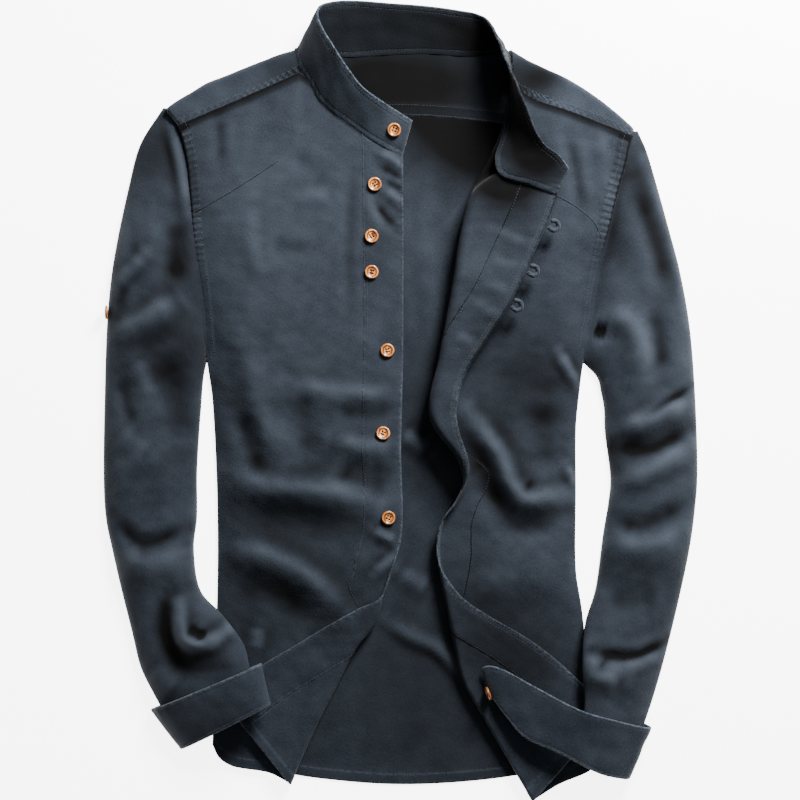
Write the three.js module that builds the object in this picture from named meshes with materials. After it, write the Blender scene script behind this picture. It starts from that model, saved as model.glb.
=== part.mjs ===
// A long-sleeved shirt with a stand collar, laid on its back on a flat surface with both fronts open.
// Units are millimetres. x runs to the wearer's left, y to the collar, z up from the surface.
import * as THREE from "three";

// Cloth thicknesses and the gap that is left at each seam.
const CLOTH = 1.2;
const FACED = 1.8;
const BAND = 2.4;
const SEAM = 0.46;

// Length of the front edge and width of the faced strip along it.
const FRONT_LENGTH = 600;
const STRIP = 38;

const NAVY = 0x2f3742;
const NAVY_DARK = 0x272e38;
const WOOD = 0xa5673a;

const plan = (x, y) => new THREE.Vector2(x, y);
const point = (x, y, z) => new THREE.Vector3(x, y, z);
const clamp = THREE.MathUtils.clamp;
const mix = THREE.MathUtils.lerp;
const ease = THREE.MathUtils.smoothstep;

// Value of one column of a table at a station, smooth from row to row.
function read(rows, key, column, at) {
  const last = rows.length - 1;
  const sign = rows[last][key] > rows[0][key] ? 1 : -1;
  let i = 0;
  while (i < last - 1 && sign * at > sign * rows[i + 1][key]) {
    i += 1;
  }
  const slope = (k) => {
    const before = rows[Math.max(k - 1, 0)];
    const after = rows[Math.min(k + 1, last)];
    return (after[column] - before[column]) / (after[key] - before[key]);
  };
  const span = rows[i + 1][key] - rows[i][key];
  const t = clamp((at - rows[i][key]) / span, 0, 1);
  const t2 = t * t;
  const t3 = t2 * t;
  return (
    (2 * t3 - 3 * t2 + 1) * rows[i][column] +
    (t3 - 2 * t2 + t) * span * slope(i) +
    (3 * t2 - 2 * t3) * rows[i + 1][column] +
    (t3 - t2) * span * slope(i + 1)
  );
}

// Smooth plan curve through the points of a table, by length from 0 to 1.
function curve(rows) {
  const line = new THREE.CatmullRomCurve3(rows.map((row) => point(row.x, row.y, 0)));
  return (t) => {
    const at = line.getPointAt(clamp(t, 0, 1));
    return plan(at.x, at.y);
  };
}

// Two curves run one after the other; the first takes the given share.
function joined(first, second, share) {
  return (t) => (t < share ? first(t / share) : second((t - share) / (1 - share)));
}

// Height of the folds of a table at a plan point; each runs along a line and fades at its ends.
function folds(rows, x, y) {
  let height = 0;
  for (const { wide, rise, line } of rows) {
    let nearest = Infinity;
    let where = 0;
    for (let i = 1; i < line.length; i += 1) {
      const [x1, y1] = line[i - 1];
      const dx = line[i][0] - x1;
      const dy = line[i][1] - y1;
      const t = clamp(((x - x1) * dx + (y - y1) * dy) / (dx * dx + dy * dy), 0, 1);
      const away = Math.hypot(x - x1 - t * dx, y - y1 - t * dy) / wide;
      if (away < nearest) {
        nearest = away;
        where = (i - 1 + t) / (line.length - 1);
      }
    }
    const full = 0.35 + 0.65 * ease(Math.min(where, 1 - where), 0, 0.3);
    height += rise * full * Math.exp(-nearest * nearest);
  }
  return height;
}

// Closed wall around a grid of points, thickness shared to both faces. Spare columns at the start
// or end of each row only steer the slope of the seam there and are left out.
function wall(points, thickness, spareStart = 0, spareEnd = 0) {
  const grid = points.map((row) => row.slice(spareStart, row.length - spareEnd));
  const rows = grid.length;
  const columns = grid[0].length;
  const across = new THREE.Vector3();
  const down = new THREE.Vector3();
  const positions = [];
  const normals = [];
  for (let i = 0; i < rows; i += 1) {
    for (let j = 0; j < columns; j += 1) {
      const full = points[i];
      const k = j + spareStart;
      across.subVectors(full[Math.min(k + 1, full.length - 1)], full[Math.max(k - 1, 0)]);
      down.subVectors(grid[Math.min(i + 1, rows - 1)][j], grid[Math.max(i - 1, 0)][j]);
      normals.push(new THREE.Vector3().crossVectors(across, down).normalize());
    }
  }
  for (const side of [1, -1]) {
    for (let i = 0; i < rows; i += 1) {
      for (let j = 0; j < columns; j += 1) {
        const normal = normals[i * columns + j];
        const at = grid[i][j].clone().addScaledVector(normal, (side * thickness) / 2);
        positions.push(at.x, at.y, Math.max(at.z, 0));
      }
    }
  }
  const lower = rows * columns;
  const faces = [];
  const quad = (a, b, c, d) => faces.push(a, b, c, a, c, d);
  for (let i = 0; i < rows - 1; i += 1) {
    for (let j = 0; j < columns - 1; j += 1) {
      const a = i * columns + j;
      quad(a, a + 1, a + columns + 1, a + columns);
      quad(lower + a, lower + a + columns, lower + a + columns + 1, lower + a + 1);
    }
  }
  for (let j = 0; j < columns - 1; j += 1) {
    const a = j;
    const b = (rows - 1) * columns + j;
    quad(a, lower + a, lower + a + 1, a + 1);
    quad(b + 1, lower + b + 1, lower + b, b);
  }
  for (let i = 0; i < rows - 1; i += 1) {
    const a = i * columns;
    const b = a + columns - 1;
    quad(a + columns, lower + a + columns, lower + a, a);
    quad(b, lower + b, lower + b + columns, b + columns);
  }
  return mesh(positions, faces);
}

// Closed wall around a tube; each ring is a closed loop of points.
function tube(rings, thickness) {
  const count = rings[0].length;
  const rows = rings.length;
  const around = new THREE.Vector3();
  const down = new THREE.Vector3();
  const positions = [];
  for (const side of [1, -1]) {
    for (let i = 0; i < rows; i += 1) {
      for (let j = 0; j < count; j += 1) {
        around.subVectors(rings[i][(j + 1) % count], rings[i][(j + count - 1) % count]);
        down.subVectors(rings[Math.min(i + 1, rows - 1)][j], rings[Math.max(i - 1, 0)][j]);
        const normal = new THREE.Vector3().crossVectors(around, down).normalize();
        const at = rings[i][j].clone().addScaledVector(normal, (side * thickness) / 2);
        positions.push(at.x, at.y, Math.max(at.z, 0));
      }
    }
  }
  const inner = rows * count;
  const faces = [];
  const quad = (a, b, c, d) => faces.push(a, b, c, a, c, d);
  for (let j = 0; j < count; j += 1) {
    const k = (j + 1) % count;
    for (let i = 0; i < rows - 1; i += 1) {
      const a = i * count;
      quad(a + j, a + k, a + count + k, a + count + j);
      quad(inner + a + j, inner + a + count + j, inner + a + count + k, inner + a + k);
    }
    const end = (rows - 1) * count;
    quad(j, inner + j, inner + k, k);
    quad(end + k, inner + end + k, inner + end + j, end + j);
  }
  return mesh(positions, faces);
}

// Geometry from positions and faces, turned so that its faces look outward.
function mesh(positions, faces) {
  let volume = 0;
  const corner = [point(0, 0, 0), point(0, 0, 0), point(0, 0, 0)];
  for (let f = 0; f < faces.length; f += 3) {
    corner.forEach((at, k) => at.fromArray(positions, 3 * faces[f + k]));
    volume += corner[0].dot(corner[1].clone().cross(corner[2]));
  }
  const ordered = volume > 0 ? faces : faces.slice().reverse();
  const geometry = new THREE.BufferGeometry();
  geometry.setAttribute("position", new THREE.Float32BufferAttribute(positions, 3));
  geometry.setIndex(ordered);
  geometry.computeVertexNormals();
  return geometry;
}

// Evenly spaced values from one number to another.
function steps(from, to, count) {
  return Array.from({ length: count + 1 }, (_, i) => mix(from, to, i / count));
}

// Armholes and side seams, from the shoulder tip to the hem.
const RIGHT_SIDE = [
  { y: 278, x: -225 },
  { y: 272, x: -218 },
  { y: 256, x: -209 },
  { y: 228, x: -202 },
  { y: 200, x: -199 },
  { y: 152, x: -195 },
  { y: 95, x: -188 },
  { y: 57, x: -185 },
  { y: 36, x: -183 },
  { y: 0, x: -178 },
  { y: -76, x: -174 },
  { y: -142, x: -173 },
  { y: -204, x: -174 },
  { y: -327, x: -178 },
];
const LEFT_SIDE = [
  { y: 256, x: 225 },
  { y: 248, x: 220 },
  { y: 223, x: 214 },
  { y: 195, x: 206 },
  { y: 157, x: 197 },
  { y: 124, x: 189 },
  { y: 95, x: 184 },
  { y: 67, x: 180 },
  { y: 36, x: 174 },
  { y: 5, x: 170 },
  { y: -28, x: 167 },
  { y: -86, x: 167 },
  { y: -160, x: 167 },
  { y: -201, x: 173 },
  { y: -339, x: 187 },
];

// Seams between fronts and yoke, and the neck seam from there to the front edge.
const RIGHT_YOKE_SEAM = [
  { x: -209, y: 256 },
  { x: -150, y: 281 },
  { x: -95, y: 306 },
];
const RIGHT_NECK = [
  { x: -95, y: 306 },
  { x: -84, y: 298 },
  { x: -77, y: 285 },
  { x: -64, y: 272 },
  { x: -51, y: 263 },
  { x: -29, y: 248 },
  { x: 3, y: 231 },
];
const LEFT_YOKE_SEAM = [
  { x: 219, y: 246 },
  { x: 158, y: 270 },
  { x: 127, y: 281 },
  { x: 107, y: 294 },
];
const LEFT_NECK = [
  { x: 107, y: 294 },
  { x: 104, y: 274 },
  { x: 98, y: 249 },
  { x: 91, y: 227 },
  { x: 89, y: 213 },
];

// Hems of the fronts, from the side seam to where the corner turns back.
const RIGHT_HEM = [
  { x: -178, y: -327 },
  { x: -172, y: -339 },
  { x: -160, y: -347 },
  { x: -123, y: -354 },
  { x: -104, y: -364 },
];
const LEFT_HEM = [
  { x: 187, y: -339 },
  { x: 182, y: -350 },
  { x: 150, y: -365 },
  { x: 126, y: -380 },
];

// Where each front turns back on itself and where its edge then lies; round is the turn's radius.
const RIGHT_EDGE = [
  { along: 0, turnX: 3, turnY: 231, edgeX: 3, edgeY: 231, round: 0 },
  { along: 184, turnX: 3, turnY: 47, edgeX: 3, edgeY: 47, round: 0 },
  { along: 279, turnX: 1, turnY: -48, edgeX: 1, edgeY: -48, round: 0 },
  { along: 355, turnX: 2, turnY: -124, edgeX: 2, edgeY: -124, round: 0 },
  { along: 388, turnX: -7, turnY: -157, edgeX: -7, edgeY: -157, round: 2 },
  { along: 417, turnX: -17, turnY: -187, edgeX: -18, edgeY: -186, round: 3.4 },
  { along: 440, turnX: -23, turnY: -210, edgeX: -40, edgeY: -197, round: 3.6 },
  { along: 469, turnX: -43, turnY: -237, edgeX: -65, edgeY: -211, round: 3.6 },
  { along: 507, turnX: -63, turnY: -276, edgeX: -98, edgeY: -231, round: 3.4 },
  { along: 545, turnX: -82, turnY: -314, edgeX: -130, edgeY: -250, round: 3.4 },
  { along: 600, turnX: -104, turnY: -364, edgeX: -171, edgeY: -281, round: 3.4 },
];
const LEFT_EDGE = [
  { along: 0, turnX: 89, turnY: 213, edgeX: 148, edgeY: 192, round: 7 },
  { along: 29, turnX: 68, turnY: 194, edgeX: 137, edgeY: 163, round: 8 },
  { along: 74, turnX: 56, turnY: 151, edgeX: 118, edgeY: 122, round: 8 },
  { along: 109, turnX: 51, turnY: 117, edgeX: 103, edgeY: 90, round: 8 },
  { along: 148, turnX: 44, turnY: 78, edgeX: 84, edgeY: 61, round: 7 },
  { along: 193, turnX: 36, turnY: 34, edgeX: 61, edgeY: 23, round: 7 },
  { along: 226, turnX: 28, turnY: 0, edgeX: 53, edgeY: -10, round: 8 },
  { along: 247, turnX: 31, turnY: -23, edgeX: 56, edgeY: -30, round: 9 },
  { along: 279, turnX: 54, turnY: -55, edgeX: 65, edgeY: -61, round: 10 },
  { along: 298, turnX: 60, turnY: -77, edgeX: 61, edgeY: -78, round: 10 },
  { along: 318, turnX: 52, turnY: -97, edgeX: 52, edgeY: -97, round: 9 },
  { along: 338, turnX: 40, turnY: -114, edgeX: 40, edgeY: -114, round: 7 },
  { along: 362, turnX: 35, turnY: -138, edgeX: 35, edgeY: -138, round: 5 },
  { along: 380, turnX: 37, turnY: -157, edgeX: 38, edgeY: -156, round: 4 },
  { along: 400, turnX: 41, turnY: -179, edgeX: 48, edgeY: -173, round: 4 },
  { along: 420, turnX: 45, turnY: -198, edgeX: 61, edgeY: -188, round: 4.6 },
  { along: 444, turnX: 49, turnY: -219, edgeX: 80, edgeY: -201, round: 4.8 },
  { along: 491, turnX: 60, turnY: -266, edgeX: 122, edgeY: -226, round: 3.4 },
  { along: 533, turnX: 80, turnY: -302, edgeX: 153, edgeY: -250, round: 3.2 },
  { along: 600, turnX: 126, turnY: -380, edgeX: 200, edgeY: -296, round: 3.1 },
];

// Height of the fronts above the surface: at the side, over the puff and at the middle.
const RIGHT_LAY = [
  { y: 310, side: 9, puff: 13, middle: 12 },
  { y: 200, side: 10, puff: 16, middle: 9 },
  { y: 100, side: 7, puff: 15, middle: 8 },
  { y: 36, side: 2.6, puff: 13, middle: 8 },
  { y: 0, side: 2.1, puff: 12, middle: 8 },
  { y: -150, side: 2.1, puff: 9, middle: 8 },
  { y: -230, side: 2.1, puff: 5.5, middle: 5 },
  { y: -380, side: 2.1, puff: 3.2, middle: 3 },
];
const LEFT_LAY = [
  { y: 310, side: 9, puff: 14, middle: 15 },
  { y: 200, side: 10, puff: 15, middle: 11 },
  { y: 100, side: 6, puff: 14, middle: 10 },
  { y: 36, side: 2.6, puff: 12, middle: 10 },
  { y: 0, side: 2.1, puff: 11, middle: 10 },
  { y: -150, side: 2.1, puff: 9, middle: 8 },
  { y: -230, side: 2.1, puff: 5.5, middle: 5 },
  { y: -390, side: 2.1, puff: 3.2, middle: 3 },
];

// Largest folds of each front.
const RIGHT_FOLDS = [
  { wide: 14, rise: 5, line: [[-111, 15], [-69, 8], [-28, 4], [-2, 2]] },
  { wide: 11.5, rise: 4, line: [[-65, -36], [-38, -43], [-2, -44]] },
  { wide: 15, rise: 3.6, line: [[-145, 52], [-137, 14], [-125, -24], [-109, -57]] },
  { wide: 16, rise: 8.5, line: [[-167, -66], [-141, -79], [-95, -85], [-52, -90], [-23, -101]] },
  { wide: 16, rise: 7.5, line: [[-167, -141], [-126, -148], [-90, -166], [-52, -201]] },
  { wide: 16, rise: -3.2, line: [[-62, -59], [-36, -74], [-4, -78]] },
  { wide: 23, rise: -3.2, line: [[-158, -110], [-95, -116], [-30, -122]] },
];
const LEFT_FOLDS = [
  {
    wide: 11.5,
    rise: 7.5,
    line: [[63, -11], [78, -30], [95, -55], [105, -80], [117, -93], [141, -92], [167, -89]],
  },
  { wide: 19, rise: -4.5, line: [[138, 5], [137, -38], [144, -72]] },
  { wide: 12.5, rise: -3.6, line: [[74, -66], [91, -95], [108, -118], [133, -118], [156, -106]] },
  { wide: 21, rise: 3, line: [[66, -175], [114, -165], [158, -154]] },
];

// Height of a front's middle surface at a plan point.
function groundOf(side, lay, foldRows, middleX) {
  return (x, y) => {
    const sideX = read(side, "y", "x", y);
    const t = clamp((x - sideX) / (middleX - sideX), 0, 1);
    const low = read(lay, "y", "side", y);
    const high = read(lay, "y", "puff", y);
    const middle = read(lay, "y", "middle", y);
    const rise = 1 - (1 - Math.min(1, t / 0.28)) ** 2.2;
    const level = mix(mix(low, high, rise), middle, ease(t, 0.45, 1));
    const fade = ease(t, 0, 0.12) * (1 - ease(y, 225, 250));
    return level + folds(foldRows, x, y) * fade;
  };
}
const rightGround = groundOf(RIGHT_SIDE, RIGHT_LAY, RIGHT_FOLDS, 3);
const leftGround = groundOf(LEFT_SIDE, LEFT_LAY, LEFT_FOLDS, 40);

// Plan distance from a turn for a length of cloth, and the length for a plan distance.
function laidOut(length, round) {
  const half = (Math.PI * round) / 2;
  return length >= half ? round + length - half : round * (1 - Math.cos(length / round));
}
function takenUp(distance, round) {
  if (distance >= round) {
    return distance - round + (Math.PI * round) / 2;
  }
  return round * Math.acos(1 - distance / round);
}

// A front as cloth: a function of the length along its edge and the width in from its edge.
function frontOf(edgeRows, side, top, hem, ground) {
  const sideTop = top(0).y;
  const sideEnd = hem(0).y;
  const at = (column, along) => read(edgeRows, "along", column, along);
  const sideAt = (v) => {
    const y = mix(sideTop, sideEnd, v);
    return plan(read(side, "y", "x", y), y);
  };
  const turnAt = (v) => {
    const along = v * FRONT_LENGTH;
    return plan(at("turnX", along), at("turnY", along));
  };
  const patch = (u, v) => {
    const bow = (rim) => rim(u).sub(rim(0).lerp(rim(1), u));
    return sideAt(v).lerp(turnAt(v), u)
      .addScaledVector(bow(top), (1 - v) ** 4)
      .addScaledVector(bow(hem), v ** 4);
  };
  const sizes = (along) => {
    const v = along / FRONT_LENGTH;
    const turn = turnAt(v);
    const edge = plan(at("edgeX", along), at("edgeY", along));
    const round = Math.max(at("round", along), 0.01);
    const width = turn.distanceTo(sideAt(v));
    const reach = turn.distanceTo(edge);
    const before = takenUp(width, round);
    const beyond = takenUp(reach, round);
    return { v, turn, edge, round, width, reach, before, beyond };
  };
  const place = (along, beyondTurn) => {
    const size = sizes(along);
    const gone = laidOut(Math.abs(beyondTurn), size.round);
    const out = size.edge.clone().sub(size.turn).divideScalar(Math.max(size.reach, 0.001));
    const spot = beyondTurn > 0
      ? size.turn.clone().addScaledVector(out, gone)
      : patch(1 - gone / size.width, size.v);
    const angle = clamp(beyondTurn / size.round, -Math.PI / 2, Math.PI / 2);
    const lift = size.round * (1 + Math.sin(angle));
    return point(spot.x, spot.y, ground(spot.x, spot.y) + lift);
  };
  return { sizes, place };
}

const rightFront = frontOf(
  RIGHT_EDGE,
  RIGHT_SIDE,
  joined(curve(RIGHT_YOKE_SEAM), curve(RIGHT_NECK), 0.5),
  curve(RIGHT_HEM),
  rightGround,
);
const leftFront = frontOf(
  LEFT_EDGE,
  LEFT_SIDE,
  joined(curve(LEFT_YOKE_SEAM), curve(LEFT_NECK), 0.6),
  curve(LEFT_HEM),
  leftGround,
);

// Stations down a front, closer together where its corner starts to turn back.
function stations(close, open) {
  return [
    ...steps(0, close, 23),
    ...steps(close, open, 9).slice(1),
    ...steps(open, FRONT_LENGTH, 8).slice(1),
  ];
}
const RIGHT_STATIONS = stations(395, 485);
const LEFT_STATIONS = stations(380, 470);

// Grid of a front's panel, from the side seam to the faced strip.
function panelGrid(front, rows, columns) {
  return rows.map((along) => {
    const size = front.sizes(along);
    const onTurn = Math.exp(-(((size.beyond - STRIP) / 9) ** 2));
    const end = size.beyond - STRIP - SEAM * (1 + 3 * onTurn);
    const second = Math.min(1.7 * size.round, end - 11);
    const first = Math.min(-1.7 * size.round, end - 30);
    const marks = [
      { c: 0, w: -size.before },
      { c: 0.62, w: first },
      { c: 0.87, w: second },
      { c: 1, w: end - 4 },
    ];
    const row = steps(0, 1, columns - 1).map((c) => {
      const k = c <= marks[1].c ? 0 : c <= marks[2].c ? 1 : 2;
      const t = (c - marks[k].c) / (marks[k + 1].c - marks[k].c);
      return front.place(along, mix(marks[k].w, marks[k + 1].w, t));
    });
    return [...row, front.place(along, end), front.place(along, end + 4)];
  });
}

// Grid of the faced strip along a front's edge.
function stripGrid(front, rows, columns) {
  return rows.map((along) => {
    const size = front.sizes(along);
    const across = [-STRIP - 4, -STRIP, ...steps(4 - STRIP, 0, columns - 1)];
    return across.map((w) => front.place(along, size.beyond + w));
  });
}

const group = new THREE.Group();
function add(name, geometry, color) {
  const material = new THREE.MeshStandardMaterial({ color, roughness: 0.85, metalness: 0 });
  material.name = name;
  const part = new THREE.Mesh(geometry, material);
  part.name = name;
  group.add(part);
  return part;
}

add("right_front", wall(panelGrid(rightFront, RIGHT_STATIONS, 14), CLOTH, 0, 1), NAVY);
add("left_front", wall(panelGrid(leftFront, LEFT_STATIONS, 14), CLOTH, 0, 1), NAVY);
add("right_placket", wall(stripGrid(rightFront, RIGHT_STATIONS, 6), FACED, 1, 0), NAVY_DARK);
add("left_placket", wall(stripGrid(leftFront, LEFT_STATIONS, 6), FACED, 1, 0), NAVY_DARK);

// Back panel: flat on the surface, with a few low folds that show between the fronts.
const YOKE_BACK = [
  { x: -207, y: 250 },
  { x: -110, y: 267 },
  { x: 0, y: 271 },
  { x: 90, y: 264 },
  { x: 150, y: 251 },
  { x: 213, y: 221 },
];
const BACK_HEM = [
  { x: -178, y: -327 },
  { x: -120, y: -352 },
  { x: -55, y: -362 },
  { x: 6, y: -365 },
  { x: 76, y: -361 },
  { x: 130, y: -353 },
  { x: 187, y: -339 },
];
const BACK_FOLDS = [
  { wide: 8.5, rise: 3, line: [[-14, -209], [10, -224], [36, -236], [49, -249], [63, -268]] },
  { wide: 9.5, rise: 2.8, line: [[-2, -162], [28, -180]] },
];
const backTop = curve(YOKE_BACK);
const backHem = curve(BACK_HEM);
const backGrid = steps(0, 1, 18).map((v) => steps(0, 1, 12).map((u) => {
  const leftY = mix(backTop(0).y, backHem(0).y, v);
  const rightY = mix(backTop(1).y, backHem(1).y, v);
  const left = plan(read(RIGHT_SIDE, "y", "x", leftY), leftY);
  const right = plan(read(LEFT_SIDE, "y", "x", rightY), rightY);
  const ends = left.lerp(right, u);
  const chord = backTop(0).lerp(backTop(1), u);
  const foot = backHem(0).lerp(backHem(1), u);
  const x = ends.x + (backTop(u).x - chord.x) * (1 - v);
  const y = ends.y + (backTop(u).y - chord.y - SEAM) * (1 - v) + (backHem(u).y - foot.y) * v;
  return point(x, y, CLOTH / 2 + folds(BACK_FOLDS, x, y));
}));
add("back", wall(backGrid, CLOTH), NAVY);

// Yoke: stations from the right armhole to the left. Each runs from its first edge, the front seam
// or the neck seam, over the shoulder and down the back to the back seam.
const YOKE = [
  { x: -208, y: 257, z: 10, foldX: -221, foldY: 277, high: 8, backX: -206 },
  { x: -180, y: 268, z: 11, foldX: -184, foldY: 299, high: 9, backX: -178 },
  { x: -150, y: 281, z: 12, foldX: -150, foldY: 313, high: 9, backX: -148 },
  { x: -122, y: 294, z: 12, foldX: -122, foldY: 324, high: 9, backX: -124 },
  { x: -96, y: 307, z: 12, foldX: -99, foldY: 332, high: 9, backX: -104 },
  { x: -96, y: 319, z: 10, foldX: -99, foldY: 332.5, high: 8, backX: -92 },
  { x: -94, y: 330, z: 1.2, foldX: -94, foldY: 330, high: 0, backX: -80 },
  { x: -76, y: 328, z: 0.6, foldX: -76, foldY: 328, high: 0, backX: -66 },
  { x: -52, y: 325, z: 0.6, foldX: -52, foldY: 325, high: 0, backX: -46 },
  { x: -14, y: 327, z: 0.6, foldX: -14, foldY: 327, high: 0, backX: -12 },
  { x: 24, y: 328, z: 0.6, foldX: 24, foldY: 328, high: 0, backX: 22 },
  { x: 60, y: 326, z: 0.6, foldX: 60, foldY: 326, high: 0, backX: 54 },
  { x: 84, y: 326, z: 0.6, foldX: 84, foldY: 326, high: 0, backX: 76 },
  { x: 98, y: 328, z: 1.2, foldX: 98, foldY: 328, high: 0, backX: 92 },
  { x: 107, y: 316, z: 11, foldX: 105, foldY: 331, high: 9, backX: 104 },
  { x: 108, y: 295, z: 14, foldX: 108, foldY: 329, high: 10, backX: 112 },
  { x: 127, y: 282, z: 14, foldX: 130, foldY: 317, high: 10, backX: 130 },
  { x: 158, y: 271, z: 13, foldX: 160, foldY: 303, high: 10, backX: 158 },
  { x: 190, y: 259, z: 11, foldX: 192, foldY: 282, high: 9, backX: 188 },
  { x: 217.5, y: 248, z: 10, foldX: 221.5, foldY: 257, high: 8, backX: 212 },
];
YOKE.forEach((row, i) => {
  row.at = i;
});
const yokeGrid = steps(0, YOKE.length - 1, 30).map((at) => {
  const station = (column) => read(YOKE, "at", column, at);
  const high = Math.max(station("high"), 0);
  const floor = CLOTH / 2;
  const front = point(station("x"), station("y") + SEAM, station("z"));
  const seam = backTop((station("backX") - YOKE[0].backX) / (YOKE[YOKE.length - 1].backX - YOKE[0].backX));
  const back = point(seam.x, seam.y + SEAM, floor);
  const foldX = station("foldX");
  const foldY = station("foldY");
  const top = point(foldX, foldY - high / 2, floor + high);
  const low = point(foldX, foldY - high / 2, floor);
  const path = new THREE.CurvePath();
  const corners = [front, top];
  for (const angle of [45, 90, 135]) {
    const turn = THREE.MathUtils.degToRad(angle);
    const out = (Math.sin(turn) * high) / 2;
    corners.push(point(foldX, foldY - high / 2 + out, floor + (high * (1 + Math.cos(turn))) / 2));
  }
  corners.push(low, back);
  corners.slice(1).forEach((corner, i) => path.add(new THREE.LineCurve3(corners[i], corner)));
  return steps(0, 1, 9).map((t) => path.getPointAt(t));
});
add("yoke", wall(yokeGrid, CLOTH), NAVY);

// Collar: stations from its right end round the back to its left end, foot to top edge.
const COLLAR = [
  { footX: 3, footY: 232.5, footZ: 10, topX: 12, topY: 264, topZ: 13 },
  { footX: -12, footY: 240, footZ: 11, topX: -3, topY: 273, topZ: 17 },
  { footX: -29, footY: 250, footZ: 12, topX: -15, topY: 280, topZ: 23 },
  { footX: -50, footY: 265, footZ: 13, topX: -34, topY: 293, topZ: 29 },
  { footX: -63, footY: 274, footZ: 14, topX: -46, topY: 307, topZ: 33 },
  { footX: -75.5, footY: 286, footZ: 14, topX: -55, topY: 320, topZ: 35 },
  { footX: -82.5, footY: 299, footZ: 14, topX: -63, topY: 333, topZ: 35 },
  { footX: -94, footY: 318, footZ: 12, topX: -71, topY: 346, topZ: 32 },
  { footX: -96, footY: 333, footZ: 8, topX: -77, topY: 361, topZ: 28 },
  { footX: -91, footY: 333, footZ: 3.5, topX: -74, topY: 371, topZ: 24 },
  { footX: -76, footY: 331, footZ: 1.8, topX: -59, topY: 375.5, topZ: 21 },
  { footX: -52, footY: 328, footZ: 1.6, topX: -38, topY: 376, topZ: 19 },
  { footX: -14, footY: 330, footZ: 1.6, topX: -10, topY: 374, topZ: 18 },
  { footX: 24, footY: 331, footZ: 1.6, topX: 28, topY: 371, topZ: 18 },
  { footX: 60, footY: 329, footZ: 1.6, topX: 62, topY: 366, topZ: 19 },
  { footX: 82, footY: 329, footZ: 2, topX: 75, topY: 362, topZ: 22 },
  { footX: 94, footY: 331, footZ: 4, topX: 84, topY: 354, topZ: 28 },
  { footX: 101, footY: 329, footZ: 9, topX: 90, topY: 340, topZ: 37 },
  { footX: 104, footY: 312, footZ: 14, topX: 97, topY: 320, topZ: 46 },
  { footX: 105, footY: 294, footZ: 17, topX: 107, topY: 295, topZ: 52 },
  { footX: 104, footY: 274, footZ: 19, topX: 117, topY: 272, topZ: 52 },
  { footX: 99, footY: 250, footZ: 21, topX: 126, topY: 251, topZ: 48 },
  { footX: 92, footY: 228, footZ: 25, topX: 134, topY: 239, topZ: 43 },
  { footX: 97, footY: 212, footZ: 30.5, topX: 141, topY: 234, topZ: 40 },
  { footX: 122, footY: 204, footZ: 32, topX: 150, topY: 227, topZ: 38 },
  { footX: 148, footY: 195, footZ: 31, topX: 158, topY: 217, topZ: 35 },
];
COLLAR.forEach((row, i) => {
  row.at = i;
});
const collarGrid = steps(0, COLLAR.length - 1, 52).map((at) => {
  const station = (column) => read(COLLAR, "at", column, at);
  const foot = point(station("footX"), station("footY"), station("footZ"));
  const top = point(station("topX"), station("topY"), station("topZ"));
  return steps(0, 1, 3).map((t) => foot.clone().lerp(top, t));
});
add("collar", wall(collarGrid, BAND), NAVY_DARK);

// Sleeves: a row for each section from the armhole down. High is the puff, tilt how far the
// inner edge is carried above the surface, base the height of the underside.
const RIGHT_SLEEVE = [
  { outX: -225.6, outY: 277, inX: -184, inY: 35.5, high: 9, tilt: 0, base: 0.6 },
  { outX: -247, outY: 242, inX: -185, inY: 31, high: 14, tilt: 0, base: 0.6 },
  { outX: -258, outY: 200, inX: -186, inY: 26, high: 16, tilt: 0, base: 0.6 },
  { outX: -268, outY: 152, inX: -187, inY: 19, high: 17, tilt: 0, base: 0.6 },
  { outX: -274, outY: 114, inX: -188, inY: 9, high: 17, tilt: 0, base: 0.6 },
  { outX: -278, outY: 66, inX: -189, inY: -6, high: 16, tilt: 0, base: 0.6 },
  { outX: -280, outY: 0, inX: -191, inY: -32, high: 15, tilt: 0, base: 0.6 },
  { outX: -281, outY: -66, inX: -193, inY: -70, high: 15, tilt: 0, base: 0.6 },
  { outX: -279, outY: -110, inX: -193, inY: -110, high: 16, tilt: 0, base: 0.6 },
  { outX: -272, outY: -145, inX: -196, inY: -142, high: 16, tilt: 0, base: 0.6 },
  { outX: -264, outY: -180, inX: -190, inY: -180, high: 15, tilt: 1, base: 0.6 },
  { outX: -254, outY: -220, inX: -168, inY: -203, high: 14, tilt: 12, base: 0.8 },
  { outX: -246, outY: -252, inX: -148, inY: -228, high: 13, tilt: 22, base: 2 },
  { outX: -234, outY: -276, inX: -142, inY: -247, high: 9, tilt: 24, base: 5.6 },
  { outX: -220, outY: -300, inX: -138, inY: -267, high: 8, tilt: 24, base: 6.2 },
  { outX: -206, outY: -316, inX: -133, inY: -279, high: 7, tilt: 24, base: 6.2 },
];
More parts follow.
